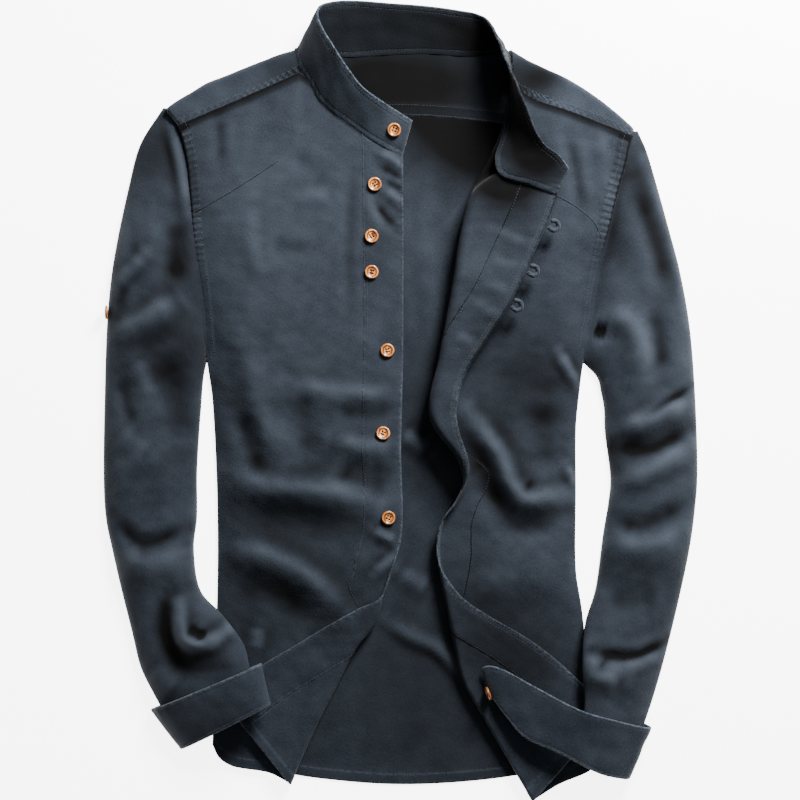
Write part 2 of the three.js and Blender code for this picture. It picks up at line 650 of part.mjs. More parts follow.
const LEFT_SLEEVE = [
  { outX: 227, outY: 255, inX: 175, inY: 35, high: 9, tilt: 0, base: 0.6 },
  { outX: 235, outY: 236, inX: 180, inY: 30, high: 14, tilt: 0, base: 0.6 },
  { outX: 243, outY: 208, inX: 185, inY: 25, high: 16, tilt: 0, base: 0.6 },
  { outX: 255, outY: 163, inX: 189, inY: 18, high: 17, tilt: 0, base: 0.6 },
  { outX: 266, outY: 119, inX: 191, inY: 8, high: 17, tilt: 0, base: 0.6 },
  { outX: 275, outY: 66, inX: 194, inY: -8, high: 17, tilt: 0, base: 0.6 },
  { outX: 280, outY: 0, inX: 195, inY: -32, high: 16, tilt: 0, base: 0.6 },
  { outX: 282, outY: -66, inX: 200, inY: -72, high: 15, tilt: 0, base: 0.6 },
  { outX: 280, outY: -100, inX: 198, inY: -98, high: 15, tilt: 0, base: 0.6 },
  { outX: 275, outY: -138, inX: 193, inY: -128, high: 15, tilt: 0, base: 0.6 },
  { outX: 266, outY: -182, inX: 186, inY: -178, high: 14, tilt: 2, base: 0.6 },
  { outX: 254, outY: -232, inX: 175, inY: -212, high: 12, tilt: 12, base: 0.8 },
  { outX: 242, outY: -274, inX: 172, inY: -252, high: 9, tilt: 17, base: 3.4 },
  { outX: 230, outY: -310, inX: 174, inY: -286, high: 7, tilt: 17, base: 4.3 },
  { outX: 219, outY: -340, inX: 170, inY: -318, high: 7, tilt: 17, base: 4.3 },
];
// Largest folds of the sleeves.
const RIGHT_SLEEVE_FOLDS = [
  { wide: 12.5, rise: 6, line: [[-273, 61], [-244, 74], [-209, 97]] },
  { wide: 19, rise: -4.5, line: [[-230, 51], [-211, 5], [-207, -46]] },
  { wide: 14, rise: 5, line: [[-272, -142], [-242, -156], [-196, -144]] },
  { wide: 12.5, rise: -4.6, line: [[-200, -179], [-220, -190], [-222, -220], [-205, -249], [-169, -249]] },
  { wide: 7.5, rise: 6, line: [[-208, -192], [-203, -226], [-180, -228], [-162, -215]] },
];
const LEFT_SLEEVE_FOLDS = [
  { wide: 12.5, rise: 6, line: [[190, 83], [214, 74], [226, 52], [228, 21]] },
  { wide: 12.5, rise: -4, line: [[239, 93], [246, 57], [249, 21]] },
  { wide: 10.5, rise: 6, line: [[205, -27], [228, -20], [252, -10], [276, -4]] },
  { wide: 10.5, rise: -4.4, line: [[201, -45], [238, -45], [275, -28]] },
  { wide: 11.5, rise: 5, line: [[201, -80], [233, -68], [276, -41]] },
  { wide: 11.5, rise: -4.6, line: [[196, -107], [224, -116], [276, -96]] },
  { wide: 14, rise: 5, line: [[195, -136], [238, -138], [270, -125]] },
  { wide: 11.5, rise: 6, line: [[175, -233], [182, -257], [210, -261]] },
];

// Rings of a sleeve. The first follows the armhole; the bend of it dies out down the sleeve.
function sleeveRings(rows, side, foldRows, rings, outward) {
  rows.forEach((row, i) => {
    row.at = i;
  });
  const tip = rows[0];
  const over = 11;
  const under = 6;
  return steps(0, rows.length - 1, rings).map((at) => {
    const station = (column) => read(rows, "at", column, at);
    const out = plan(station("outX"), station("outY"));
    const inner = plan(station("inX"), station("inY"));
    const bend = 1 - ease(at, 0, 4.5);
    const spot = (t) => {
      const straight = out.clone().lerp(inner, t);
      const y = mix(tip.outY, tip.inY, t);
      const chord = mix(tip.outX, tip.inX, t);
      const hole = read(side, "y", "x", y) + outward;
      straight.x += (hole - chord) * bend;
      return straight;
    };
    const low = (t) => station("base") + station("tilt") * t;
    const ring = [];
    steps(0, 1, over).forEach((s) => {
      const t = (1 - Math.cos(Math.PI * s)) / 2;
      const arch = Math.sqrt(Math.max(1 - Math.abs(2 * t - 1) ** 2.6, 0));
      const where = spot(t);
      const crease = folds(foldRows, where.x, where.y) * arch * ease(at, 0.5, 3);
      ring.push(point(where.x, where.y, low(t) + station("high") * arch + crease));
    });
    steps(0, 1, under).slice(1, -1).forEach((s) => {
      const t = 1 - s;
      const where = spot(t);
      ring.push(point(where.x, where.y, low(t)));
    });
    return ring;
  });
}
add("right_sleeve", tube(sleeveRings(RIGHT_SLEEVE, RIGHT_SIDE, RIGHT_SLEEVE_FOLDS, 28, -1.2), CLOTH), NAVY);
add("left_sleeve", tube(sleeveRings(LEFT_SLEEVE, LEFT_SIDE, LEFT_SLEEVE_FOLDS, 28, 1.2), CLOTH), NAVY);

// Right cuff: a closed band turned back over the sleeve's end, free edge first.
const RIGHT_CUFF = [
  { outX: -236, outY: -293, inX: -131, inY: -247, high: 17 },
  { outX: -222, outY: -312, inX: -127, inY: -266, high: 17 },
  { outX: -207, outY: -331, inX: -122, inY: -286, high: 15 },
];
const CUFF_TILT = 24;
const rightCuffRings = RIGHT_CUFF.map((row) => {
  const out = plan(row.outX, row.outY);
  const inner = plan(row.inX, row.inY);
  const low = (t) => BAND / 2 + CUFF_TILT * t;
  const ring = steps(0, 1, 14).map((s) => {
    const t = (1 - Math.cos(Math.PI * s)) / 2;
    const arch = Math.sqrt(Math.max(1 - Math.abs(2 * t - 1) ** 3, 0));
    const where = out.clone().lerp(inner, t);
    return point(where.x, where.y, low(t) + row.high * arch);
  });
  for (const t of steps(1, 0, 6).slice(1, -1)) {
    const where = out.clone().lerp(inner, t);
    ring.push(point(where.x, where.y, low(t)));
  }
  return ring;
});
add("right_cuff", tube(rightCuffRings, BAND), NAVY_DARK);

// Left cuff: an open band from under the sleeve, round its outer side and over it to a free end.
const LEFT_CUFF = [
  { topX: 217, topY: -300, topZ: 1.3, lowX: 198, lowY: -351, lowZ: 1.3 },
  { topX: 228, topY: -305, topZ: 1.3, lowX: 207, lowY: -355, lowZ: 1.3 },
  { topX: 235, topY: -308, topZ: 3.4, lowX: 214, lowY: -358, lowZ: 3.4 },
  { topX: 237, topY: -309, topZ: 10, lowX: 216, lowY: -358, lowZ: 10 },
  { topX: 231, topY: -308, topZ: 19, lowX: 209, lowY: -357, lowZ: 18 },
  { topX: 205, topY: -301, topZ: 28, lowX: 185, lowY: -350, lowZ: 26 },
  { topX: 169, topY: -290, topZ: 32, lowX: 148, lowY: -331, lowZ: 26 },
  { topX: 131, topY: -271, topZ: 28, lowX: 118, lowY: -318, lowZ: 22 },
  { topX: 103, topY: -256, topZ: 24, lowX: 102, lowY: -301, lowZ: 20 },
  { topX: 87, topY: -250, topZ: 21, lowX: 93, lowY: -289, lowZ: 18 },
  { topX: 78, topY: -252, topZ: 17.5, lowX: 87, lowY: -281, lowZ: 16 },
  { topX: 80, topY: -259, topZ: 14.4, lowX: 91, lowY: -285, lowZ: 14 },
];
LEFT_CUFF.forEach((row, i) => {
  row.at = i;
});
const leftCuffGrid = steps(0, LEFT_CUFF.length - 1, 26).map((at) => {
  const station = (column) => read(LEFT_CUFF, "at", column, at);
  const top = point(station("topX"), station("topY"), station("topZ"));
  const low = point(station("lowX"), station("lowY"), station("lowZ"));
  return steps(0, 1, 3).map((t) => top.clone().lerp(low, t));
});
add("left_cuff", wall(leftCuffGrid, BAND), NAVY_DARK);

// Buttons: dished discs with a raised rim; from the bottom of the axis round to its top.
const BUTTON = [
  { radius: 5.4, height: 0 },
  { radius: 6.6, height: 0.9 },
  { radius: 6.6, height: 1.8 },
  { radius: 5.8, height: 2.6 },
  { radius: 4.6, height: 2.5 },
  { radius: 3.8, height: 1.7 },
];
const BUTTON_SIDES = 14;
const SHANK = 0.4;
const BUTTON_RADIUS = 6.6;
function button(name, at, facing) {
  const positions = [0, 0, BUTTON[0].height];
  const faces = [];
  const rim = (i, k) => 1 + i * BUTTON_SIDES + (k % BUTTON_SIDES);
  for (const row of BUTTON) {
    for (let k = 0; k < BUTTON_SIDES; k += 1) {
      const angle = (2 * Math.PI * k) / BUTTON_SIDES;
      positions.push(row.radius * Math.cos(angle), row.radius * Math.sin(angle), row.height);
    }
  }
  const top = positions.length / 3;
  positions.push(0, 0, BUTTON[BUTTON.length - 1].height);
  for (let k = 0; k < BUTTON_SIDES; k += 1) {
    faces.push(0, rim(0, k + 1), rim(0, k));
    faces.push(top, rim(BUTTON.length - 1, k), rim(BUTTON.length - 1, k + 1));
    for (let i = 0; i < BUTTON.length - 1; i += 1) {
      faces.push(rim(i, k), rim(i, k + 1), rim(i + 1, k + 1));
      faces.push(rim(i, k), rim(i + 1, k + 1), rim(i + 1, k));
    }
  }
  const turn = new THREE.Quaternion().setFromUnitVectors(point(0, 0, 1), facing.clone().normalize());
  const seat = at.clone().addScaledVector(facing.clone().normalize(), SHANK);
  const placed = new THREE.Matrix4().compose(seat, turn, point(1, 1, 1));
  add(name, mesh(positions, faces).applyMatrix4(placed), WOOD);
}

// Buttons on the right front, by plan place. Each lies on the cloth between two of its stations.
const FRONT_BUTTONS = [
  { name: "button_1", x: -24, y: 204 },
  { name: "button_2", x: -27, y: 155 },
  { name: "button_3", x: -27, y: 121 },
  { name: "button_4", x: -12, y: 47 },
  { name: "button_5", x: -16, y: -32 },
  { name: "button_6", x: -11, y: -111 },
];
for (const row of FRONT_BUTTONS) {
  const reach = 6;
  const gap = RIGHT_STATIONS[1];
  const rise = (dx, dy) => {
    const x = row.x + dx;
    const down = (RIGHT_NECK[6].y - row.y - dy) / gap;
    const above = rightGround(x, RIGHT_NECK[6].y - Math.floor(down) * gap);
    const below = rightGround(x, RIGHT_NECK[6].y - Math.ceil(down) * gap);
    return mix(above, below, down - Math.floor(down));
  };
  const slopeX = (rise(reach, 0) - rise(-reach, 0)) / (2 * reach);
  const slopeY = (rise(0, reach) - rise(0, -reach)) / (2 * reach);
  const facing = point(-slopeX, -slopeY, 1).normalize();
  const middle = rise(0, 0);
  let proud = 0;
  for (const angle of steps(0, 2 * Math.PI, 16)) {
    const dx = BUTTON_RADIUS * Math.cos(angle);
    const dy = BUTTON_RADIUS * Math.sin(angle);
    proud = Math.max(proud, rise(dx, dy) - middle - slopeX * dx - slopeY * dy);
  }
  const at = point(row.x, row.y, middle).addScaledVector(facing, FACED / 2 + proud * facing.z);
  button(row.name, at, facing);
}
button("collar_button", point(-5.5, 255, 15.5), point(0.02, -0.2, 1));
button("right_sleeve_button", point(-276.3, 83, 8), point(-1, 0, 0.1));
button("left_cuff_button", point(84.55, -275.9, 18.4), point(-0.95, -0.3, 0.12));

// Cord loops along the turned-back edge of the left front, one for each of the upper buttons.
const LOOPS = [
  { name: "loop_1", along: 26 },
  { name: "loop_2", along: 72 },
  { name: "loop_3", along: 107 },
];
const CORD = 1.7;
const CORD_SIDES = 6;
for (const row of LOOPS) {
  const size = leftFront.sizes(row.along);
  const edge = leftFront.place(row.along, size.beyond);
  const next = leftFront.place(row.along + 4, size.beyond);
  const down = next.sub(edge).setZ(0).normalize();
  const out = point(-down.y, down.x, 0);
  if (out.x < 0) {
    out.negate();
  }
  const shape = [
    { out: 2.15, down: -3.4, drop: 0 },
    { out: 5, down: -4.8, drop: 0.5 },
    { out: 9, down: -4.4, drop: 1.5 },
    { out: 11.4, down: 0, drop: 2.4 },
    { out: 9, down: 4.4, drop: 1.5 },
    { out: 5, down: 4.8, drop: 0.5 },
    { out: 2.15, down: 3.4, drop: 0 },
  ];
  const middle = new THREE.CatmullRomCurve3(shape.map((bend) => edge.clone()
    .addScaledVector(out, bend.out)
    .addScaledVector(down, bend.down)
    .add(point(0, 0, -bend.drop))));
  const positions = [];
  const faces = [];
  const count = 12;
  const up = point(0, 0, 1);
  for (const s of steps(0, 1, count)) {
    const at = middle.getPointAt(s);
    const side = middle.getTangentAt(s).cross(up).normalize();
    for (let k = 0; k < CORD_SIDES; k += 1) {
      const angle = (2 * Math.PI * k) / CORD_SIDES;
      const spot = at.clone()
        .addScaledVector(side, CORD * Math.cos(angle))
        .addScaledVector(up, CORD * Math.sin(angle));
      positions.push(spot.x, spot.y, spot.z);
    }
  }
  const last = count * CORD_SIDES;
  for (let k = 0; k < CORD_SIDES; k += 1) {
    const next2 = (k + 1) % CORD_SIDES;
    for (let i = 0; i < count; i += 1) {
      const a = i * CORD_SIDES;
      faces.push(a + k, a + CORD_SIDES + k, a + CORD_SIDES + next2);
      faces.push(a + k, a + CORD_SIDES + next2, a + next2);
    }
    if (k > 0 && k < CORD_SIDES - 1) {
      faces.push(0, k, k + 1);
      faces.push(last, last + k + 1, last + k);
    }
  }
  add(row.name, mesh(positions, faces), NAVY);
}

// The middle of the bottom of the whole shirt becomes the origin.
const whole = new THREE.Box3().setFromObject(group);
const centre = whole.getCenter(new THREE.Vector3());
group.children.forEach((part) => part.geometry.translate(-centre.x, -centre.y, -whole.min.z));

export default group;
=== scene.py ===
"""A long-sleeved cotton shirt with a stand collar, laid on its back on a pale surface.

Both fronts lie open. Sizes inside the piece functions are in millimetres in the plan of the
laid-out shirt: x to the wearer's left, y to the collar, z up. Meshes are made in metres.
"""

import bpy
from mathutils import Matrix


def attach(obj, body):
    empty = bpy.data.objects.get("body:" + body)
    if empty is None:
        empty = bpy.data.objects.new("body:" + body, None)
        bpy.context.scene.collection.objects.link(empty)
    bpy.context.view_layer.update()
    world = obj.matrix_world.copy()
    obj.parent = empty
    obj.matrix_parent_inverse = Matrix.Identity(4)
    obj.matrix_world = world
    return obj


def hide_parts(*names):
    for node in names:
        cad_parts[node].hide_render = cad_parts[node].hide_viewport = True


bl_info = {
    "name": "Stand collar shirt",
    "version": (1, 0, 0),
    "blender": (4, 5, 0),
    "location": "3D View > Sidebar > Shirt",
    "description": "Builds the cloth, buttons, loops and stitching of a laid-out shirt",
    "category": "Add Mesh",
}

import math

import bmesh
import bpy
import numpy as np
from mathutils import Matrix, Vector

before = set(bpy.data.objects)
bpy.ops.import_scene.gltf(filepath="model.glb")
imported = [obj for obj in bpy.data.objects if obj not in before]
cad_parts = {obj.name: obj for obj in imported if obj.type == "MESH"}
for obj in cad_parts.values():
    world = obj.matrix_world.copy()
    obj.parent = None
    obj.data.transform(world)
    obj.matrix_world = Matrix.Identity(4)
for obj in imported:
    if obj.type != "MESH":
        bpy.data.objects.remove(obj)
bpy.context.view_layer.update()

MM = 0.001
CENTRE_X = 0.5
CENTRE_Y = -1.77

CLOTH = 1.1
FACED = 1.8
BAND = 2.4
FRONT_LENGTH = 600
STRIP = 38
BACK_LENGTH = 610
BACK_WIDTH = 385
ABOVE_FLOOR = 0.02


# Tables of the pattern, read from row to row along a smooth curve.
def table(names, *rows):
    """Columns of a table by name."""
    return {name: np.array(column, float) for name, column in zip(names.split(), zip(*rows))}


def read(rows, key, column, at):
    """Value of one column where another column has the value at."""
    keys = rows[key]
    values = rows[column]
    at = np.asarray(at, float)
    sign = 1 if keys[-1] > keys[0] else -1
    last = len(keys) - 1
    i = np.clip(np.searchsorted(sign * keys, sign * at) - 1, 0, last - 1)
    before = np.maximum(np.arange(last + 1) - 1, 0)
    after = np.minimum(np.arange(last + 1) + 1, last)
    slopes = (values[after] - values[before]) / (keys[after] - keys[before])
    span = keys[i + 1] - keys[i]
    t = np.clip((at - keys[i]) / span, 0, 1)
    return (
        (2 * t**3 - 3 * t**2 + 1) * values[i]
        + (t**3 - 2 * t**2 + t) * span * slopes[i]
        + (3 * t**2 - 2 * t**3) * values[i + 1]
        + (t**3 - t**2) * span * slopes[i + 1]
    )


def station(rows, column, at):
    """Value of a column at a row number between the first and the last."""
    counted = dict(rows, at=np.arange(len(rows[column]), dtype=float))
    return read(counted, "at", column, at)


def mix(a, b, t):
    """Value at a share of the way from one to the other."""
    return a + (b - a) * t


def ease(value, low, high):
    """Smooth step from 0 at low to 1 at high."""
    t = np.clip((value - low) / (high - low), 0, 1)
    return t * t * (3 - 2 * t)


def ridge(distance, wide):
    """Bell-shaped height, 1 in the middle."""
    return np.exp(-((distance / wide) ** 2))


def stack(x, y, z):
    """Points from three arrays of coordinates."""
    return np.stack(np.broadcast_arrays(x, y, z), axis=-1)


def run(points):
    """Length along a line of points, from its first point."""
    gaps = np.linalg.norm(np.diff(points, axis=0), axis=1)
    return np.concatenate([[0], np.cumsum(gaps)])


def along_line(points, where):
    """Points of a line at lengths from its start."""
    lengths = run(points)
    return np.stack([np.interp(where, lengths, column) for column in points.T], axis=-1)


def curve(rows):
    """Smooth plan curve through a table's points, by its length from 0 to 1."""
    points = np.stack([rows["x"], rows["y"]], axis=1)
    first = 2 * points[0] - points[1]
    last = 2 * points[-1] - points[-2]
    points = np.vstack([first, points, last])
    t = np.linspace(0, 1, 24, endpoint=False)[:, None]
    spots = []
    for i in range(1, len(points) - 2):
        a, b, c, d = points[i - 1 : i + 3]
        ab = np.linalg.norm(b - a) ** 0.5
        bc = np.linalg.norm(c - b) ** 0.5
        cd = np.linalg.norm(d - c) ** 0.5
        start = ((b - a) / ab - (c - a) / (ab + bc) + (c - b) / bc) * bc
        end = ((c - b) / bc - (d - b) / (bc + cd) + (d - c) / cd) * bc
        spots.append(
            (2 * t**3 - 3 * t**2 + 1) * b
            + (t**3 - 2 * t**2 + t) * start
            + (3 * t**2 - 2 * t**3) * c
            + (t**3 - t**2) * end
        )
    spots = np.vstack([*spots, points[-2:-1]])
    lengths = run(spots)

    def at(t):
        where = np.clip(t, 0, 1) * lengths[-1]
        return np.stack([np.interp(where, lengths, column) for column in spots.T], axis=-1)

    return at


def joined(first, second, share):
    """Two curves run one after the other; the first takes the given share."""

    def at(t):
        t = np.asarray(t, float)
        early = first(np.clip(t / share, 0, 1))
        late = second(np.clip((t - share) / (1 - share), 0, 1))
        return np.where(t[..., None] < share, early, late)

    return at


def folds(rows, x, y):
    """Height of a table's folds at plan points. Each row gives a fold's half width, its rise, its
    lean, which makes one flank of it steeper, and the points of the line that it runs along."""
    x, y = np.broadcast_arrays(np.asarray(x, float), np.asarray(y, float))
    height = np.zeros(x.shape)
    for wide, rise, lean, *line in rows:
        line = np.array(line, float)
        reach = 2.6 * wide * (1 + abs(lean))
        low = line.min(axis=0) - reach
        high = line.max(axis=0) + reach
        near = (x > low[0]) & (x < high[0]) & (y > low[1]) & (y < high[1])
        if not near.any():
            continue
        bends = curve({"x": line[:, 0], "y": line[:, 1]})(np.linspace(0, 1, 4 * len(line)))
        height[near] += rise * fold_form(bends, wide, lean, x[near], y[near])
    return height


def fold_form(line, wide, lean, x, y):
    """Height, up to 1, of a fold along a line, fading at the line's ends."""
    nearest = np.full(x.shape, np.inf)
    side = np.zeros(x.shape)
    where = np.zeros(x.shape)
    for i in range(len(line) - 1):
        dx, dy = line[i + 1] - line[i]
        length = dx**2 + dy**2
        t = np.clip(((x - line[i, 0]) * dx + (y - line[i, 1]) * dy) / length, 0, 1)
        gone_x = x - line[i, 0] - t * dx
        gone_y = y - line[i, 1] - t * dy
        away = gone_x**2 + gone_y**2
        closer = away < nearest
        nearest = np.where(closer, away, nearest)
        side = np.where(closer, gone_y * dx - gone_x * dy, side)
        where = np.where(closer, (i + t) / (len(line) - 1), where)
    away = np.sqrt(nearest)
    flank = wide * (1 + lean * np.clip(side / (away * np.sqrt(length) + 0.01), -1, 1))
    full = 0.35 + 0.65 * ease(np.minimum(where, 1 - where), 0, 0.3)
    return full * np.exp(-((away / flank) ** 2))


def paint_light_and_shade(rows, x, y, patches=()):
    """Painted shading of the cloth, from -1 in hollows to 1 on the crests of folds: painted shade in
    the hollows, painted highlight on the crests, and broad patches of painted light and shade.
    """
    step = 8
    contrast = 12
    around = sum(
        folds(rows, x + step * dx, y + step * dy) for dx, dy in ((1, 0), (-1, 0), (0, 1), (0, -1))
    )
    total = (4 * folds(rows, x, y) - around) / step**2 * contrast
    for patch_x, patch_y, reach, amount in patches:
        away = ((x - patch_x) ** 2 + (y - patch_y) ** 2) / reach**2
        total = total + amount * np.exp(-away)
    return np.clip(total, -1, 1)


def drift(x, y, size, seed):
    """Soft uneven waves between about -1 and 1, the same on every run."""
    total = np.zeros(np.broadcast(x, y).shape)
    for k in range(6):
        turn = 2.4 * k + 0.9 * seed
        across = (x * math.cos(turn) + y * math.sin(turn)) / size
        down = (y * math.cos(turn) - x * math.sin(turn)) / size
        bent = across * (1 + 0.17 * k) + 1.3 * np.sin(0.53 * down + k + seed)
        total = total + np.sin(bent * 6.28 + 1.7 * k * seed)
    return total / 3


def marks(start, stop, step, lines=(), cut=(True, True)):
    """Values from start to stop, closer together at the lines and at rounded ends."""
    values = list(np.linspace(start, stop, max(int(round((stop - start) / step)), 2) + 1))
    for line in lines:
        values += [line - 0.7, line, line + 0.7]
    for near in (0.08, 0.28, 0.6):
        if cut[0]:
            values.append(start + near)
        if cut[1]:
            values.append(stop - near)
    values = sorted(value for value in values if start <= value <= stop)
    kept = [values[0]]
    for value in values[1:]:
        wanted = value in lines or value == stop
        if value - kept[-1] > 0.17 or wanted and value > kept[-1]:
            kept.append(value)
    return np.array(kept)


def rounded(distance, thick):
    """Thickness at a distance from a rounded edge."""
    radius = thick / 2
    t = np.clip(distance / radius, 0, 1)
    return thick * np.sqrt(np.clip(1 - (1 - t) ** 2, 0, 1))


def plateau(distance, start, stop, soft):
    """1 between start and stop, with soft shoulders."""
    return ease(distance, start - soft, start + soft) * (1 - ease(distance, stop - soft, stop + soft))


RIGHT_SIDE = table(
    "y x",
    (278, -225),
    (272, -218),
    (256, -209),
    (228, -202),
    (200, -199),
    (152, -195),
    (95, -188),
    (57, -185),
    (36, -183),
    (0, -178),
    (-76, -174),
    (-142, -173),
    (-204, -174),
    (-327, -178),
)
LEFT_SIDE = table(
    "y x",
    (256, 225),
    (248, 220),
    (223, 214),
    (195, 206),
    (157, 197),
    (124, 189),
    (95, 184),
    (67, 180),
    (36, 174),
    (5, 170),
    (-28, 167),
    (-86, 167),
    (-160, 167),
    (-201, 173),
    (-339, 187),
)
RIGHT_YOKE_SEAM = table(
    "x y",
    (-209, 256),
    (-150, 281),
    (-95, 306),
)
RIGHT_NECK = table(
    "x y",
    (-95, 306),
    (-84, 298),
    (-77, 285),
    (-64, 272),
    (-51, 263),
    (-29, 248),
    (3, 231),
)
LEFT_YOKE_SEAM = table(
    "x y",
    (219, 246),
    (158, 270),
    (127, 281),
    (107, 294),
)
LEFT_NECK = table(
    "x y",
    (107, 294),
    (104, 274),
    (98, 249),
    (91, 227),
    (89, 213),
)
RIGHT_HEM = table(
    "x y",
    (-178, -327),
    (-172, -339),
    (-160, -347),
    (-123, -354),
    (-104, -364),
)
LEFT_HEM = table(
    "x y",
    (187, -339),
    (182, -350),
    (150, -365),
    (126, -380),
)
RIGHT_EDGE = table(
    "along turn_x turn_y edge_x edge_y round",
    (0, 3, 231, 3, 231, 0),
    (184, 3, 47, 3, 47, 0),
    (279, 1, -48, 1, -48, 0),
    (355, 2, -124, 2, -124, 0),
    (388, -7, -157, -7, -157, 2),
    (417, -17, -187, -18, -186, 3.4),
    (440, -23, -210, -40, -197, 3.6),
    (469, -43, -237, -65, -211, 3.6),
    (507, -63, -276, -98, -231, 3.4),
    (545, -82, -314, -130, -250, 3.4),
    (600, -104, -364, -171, -281, 3.4),
)
LEFT_EDGE = table(
    "along turn_x turn_y edge_x edge_y round",
    (0, 89, 213, 148, 192, 7),
    (29, 68, 194, 137, 163, 8),
    (74, 56, 151, 118, 122, 8),
    (109, 51, 117, 103, 90, 8),
    (148, 44, 78, 84, 61, 7),
    (193, 36, 34, 61, 23, 7),
    (226, 28, 0, 53, -10, 8),
    (247, 31, -23, 56, -30, 9),
    (279, 54, -55, 65, -61, 10),
    (298, 60, -77, 61, -78, 10),
    (318, 52, -97, 52, -97, 9),
    (338, 40, -114, 40, -114, 7),
    (362, 35, -138, 35, -138, 5),
    (380, 37, -157, 38, -156, 4),
    (400, 41, -179, 48, -173, 4),
    (420, 45, -198, 61, -188, 4.6),
    (444, 49, -219, 80, -201, 4.8),
    (491, 60, -266, 122, -226, 3.4),
    (533, 80, -302, 153, -250, 3.2),
    (600, 126, -380, 200, -296, 3.1),
)
RIGHT_LAY = table(
    "y side puff middle",
    (310, 9, 13, 12),
    (200, 10, 16, 9),
    (100, 7, 15, 8),
    (36, 2.6, 13, 8),
    (0, 2.1, 12, 8),
    (-150, 2.1, 9, 8),
    (-230, 2.1, 5.5, 5),
    (-380, 2.1, 3.2, 3),
)
LEFT_LAY = table(
    "y side puff middle",
    (310, 9, 14, 15),
    (200, 10, 15, 11),
    (100, 6, 14, 10),
    (36, 2.6, 12, 10),
    (0, 2.1, 11, 10),
    (-150, 2.1, 9, 8),
    (-230, 2.1, 5.5, 5),
    (-390, 2.1, 3.2, 3),
)
# Folds: half width, rise, lean, and the points of the line that each runs along.
RIGHT_FOLDS = (
    (14, 5, -0.2, (-111, 15), (-69, 8), (-28, 4), (-2, 2)),
    (11.5, 4, -0.2, (-65, -36), (-38, -43), (-2, -44)),
    (15, 3.6, 0, (-145, 52), (-137, 14), (-125, -24), (-109, -57)),
    (16, 8.5, -0.15, (-167, -66), (-141, -79), (-95, -85), (-52, -90), (-23, -101)),
    (16, 7.5, -0.15, (-167, -141), (-126, -148), (-90, -166), (-52, -201)),
    (16, -3.2, 0, (-62, -59), (-36, -74), (-4, -78)),
    (23, -3.2, 0, (-158, -110), (-95, -116), (-30, -122)),
)
LEFT_FOLDS = (
    (11.5, 7.5, 0, (63, -11), (78, -30), (95, -55), (105, -80), (117, -93), (141, -92), (167, -89)),
    (19, -4.5, 0, (138, 5), (137, -38), (144, -72)),
    (12.5, -3.6, 0, (74, -66), (91, -95), (108, -118), (133, -118), (156, -106)),
    (21, 3, 0, (66, -175), (114, -165), (158, -154)),
)
YOKE_BACK = table(
    "x y",
    (-207, 250),
    (-110, 267),
    (0, 271),
    (90, 264),
    (150, 251),
    (213, 221),
)
BACK_HEM = table(
    "x y",
    (-178, -327),
    (-120, -352),
    (-55, -362),
    (6, -365),
    (76, -361),
    (130, -353),
    (187, -339),
)
BACK_FOLDS = (
    (8.5, 3, 0.3, (-14, -209), (10, -224), (36, -236), (49, -249), (63, -268)),
    (8.5, 2.6, 0, (0, -30), (28, -49)),
    (9.5, 2.8, 0, (-2, -162), (28, -180)),
)
YOKE = table(
    "x y z fold_x fold_y high back_x",
    (-208, 257, 10, -221, 277, 8, -206),
    (-180, 268, 11, -184, 299, 9, -178),
    (-150, 281, 12, -150, 313, 9, -148),
    (-122, 294, 12, -122, 324, 9, -124),
    (-96, 307, 12, -99, 332, 9, -104),
    (-96, 319, 10, -99, 332.5, 8, -92),
    (-94, 330, 1.2, -94, 330, 0, -80),
    (-76, 328, 0.6, -76, 328, 0, -66),
    (-52, 325, 0.6, -52, 325, 0, -46),
    (-14, 327, 0.6, -14, 327, 0, -12),
    (24, 328, 0.6, 24, 328, 0, 22),
    (60, 326, 0.6, 60, 326, 0, 54),
    (84, 326, 0.6, 84, 326, 0, 76),
    (98, 328, 1.2, 98, 328, 0, 92),
    (107, 316, 11, 105, 331, 9, 104),
    (108, 295, 14, 108, 329, 10, 112),
    (127, 282, 14, 130, 317, 10, 130),
    (158, 271, 13, 160, 303, 10, 158),
    (190, 259, 11, 192, 282, 9, 188),
    (217.5, 248, 10, 221.5, 257, 8, 212),
)
COLLAR = table(
    "foot_x foot_y foot_z top_x top_y top_z",
    (3, 232.5, 10, 12, 264, 13),
    (-12, 240, 11, -3, 273, 17),
    (-29, 250, 12, -15, 280, 23),
    (-50, 265, 13, -34, 293, 29),
    (-63, 274, 14, -46, 307, 33),
    (-75.5, 286, 14, -55, 320, 35),
    (-82.5, 299, 14, -63, 333, 35),
    (-94, 318, 12, -71, 346, 32),
    (-96, 333, 8, -77, 361, 28),
    (-91, 333, 3.5, -74, 371, 24),
    (-76, 331, 1.8, -59, 375.5, 21),
    (-52, 328, 1.6, -38, 376, 19),
    (-14, 330, 1.6, -10, 374, 18),
    (24, 331, 1.6, 28, 371, 18),
    (60, 329, 1.6, 62, 366, 19),
    (82, 329, 2, 75, 362, 22),
    (94, 331, 4, 84, 354, 28),
    (101, 329, 9, 90, 340, 37),
    (104, 312, 14, 97, 320, 46),
    (105, 294, 17, 107, 295, 52),
    (104, 274, 19, 117, 272, 52),
    (99, 250, 21, 126, 251, 48),
    (92, 228, 25, 134, 239, 43),
    (97, 212, 30.5, 141, 234, 40),
    (122, 204, 32, 150, 227, 38),
    (148, 195, 31, 158, 217, 35),
)
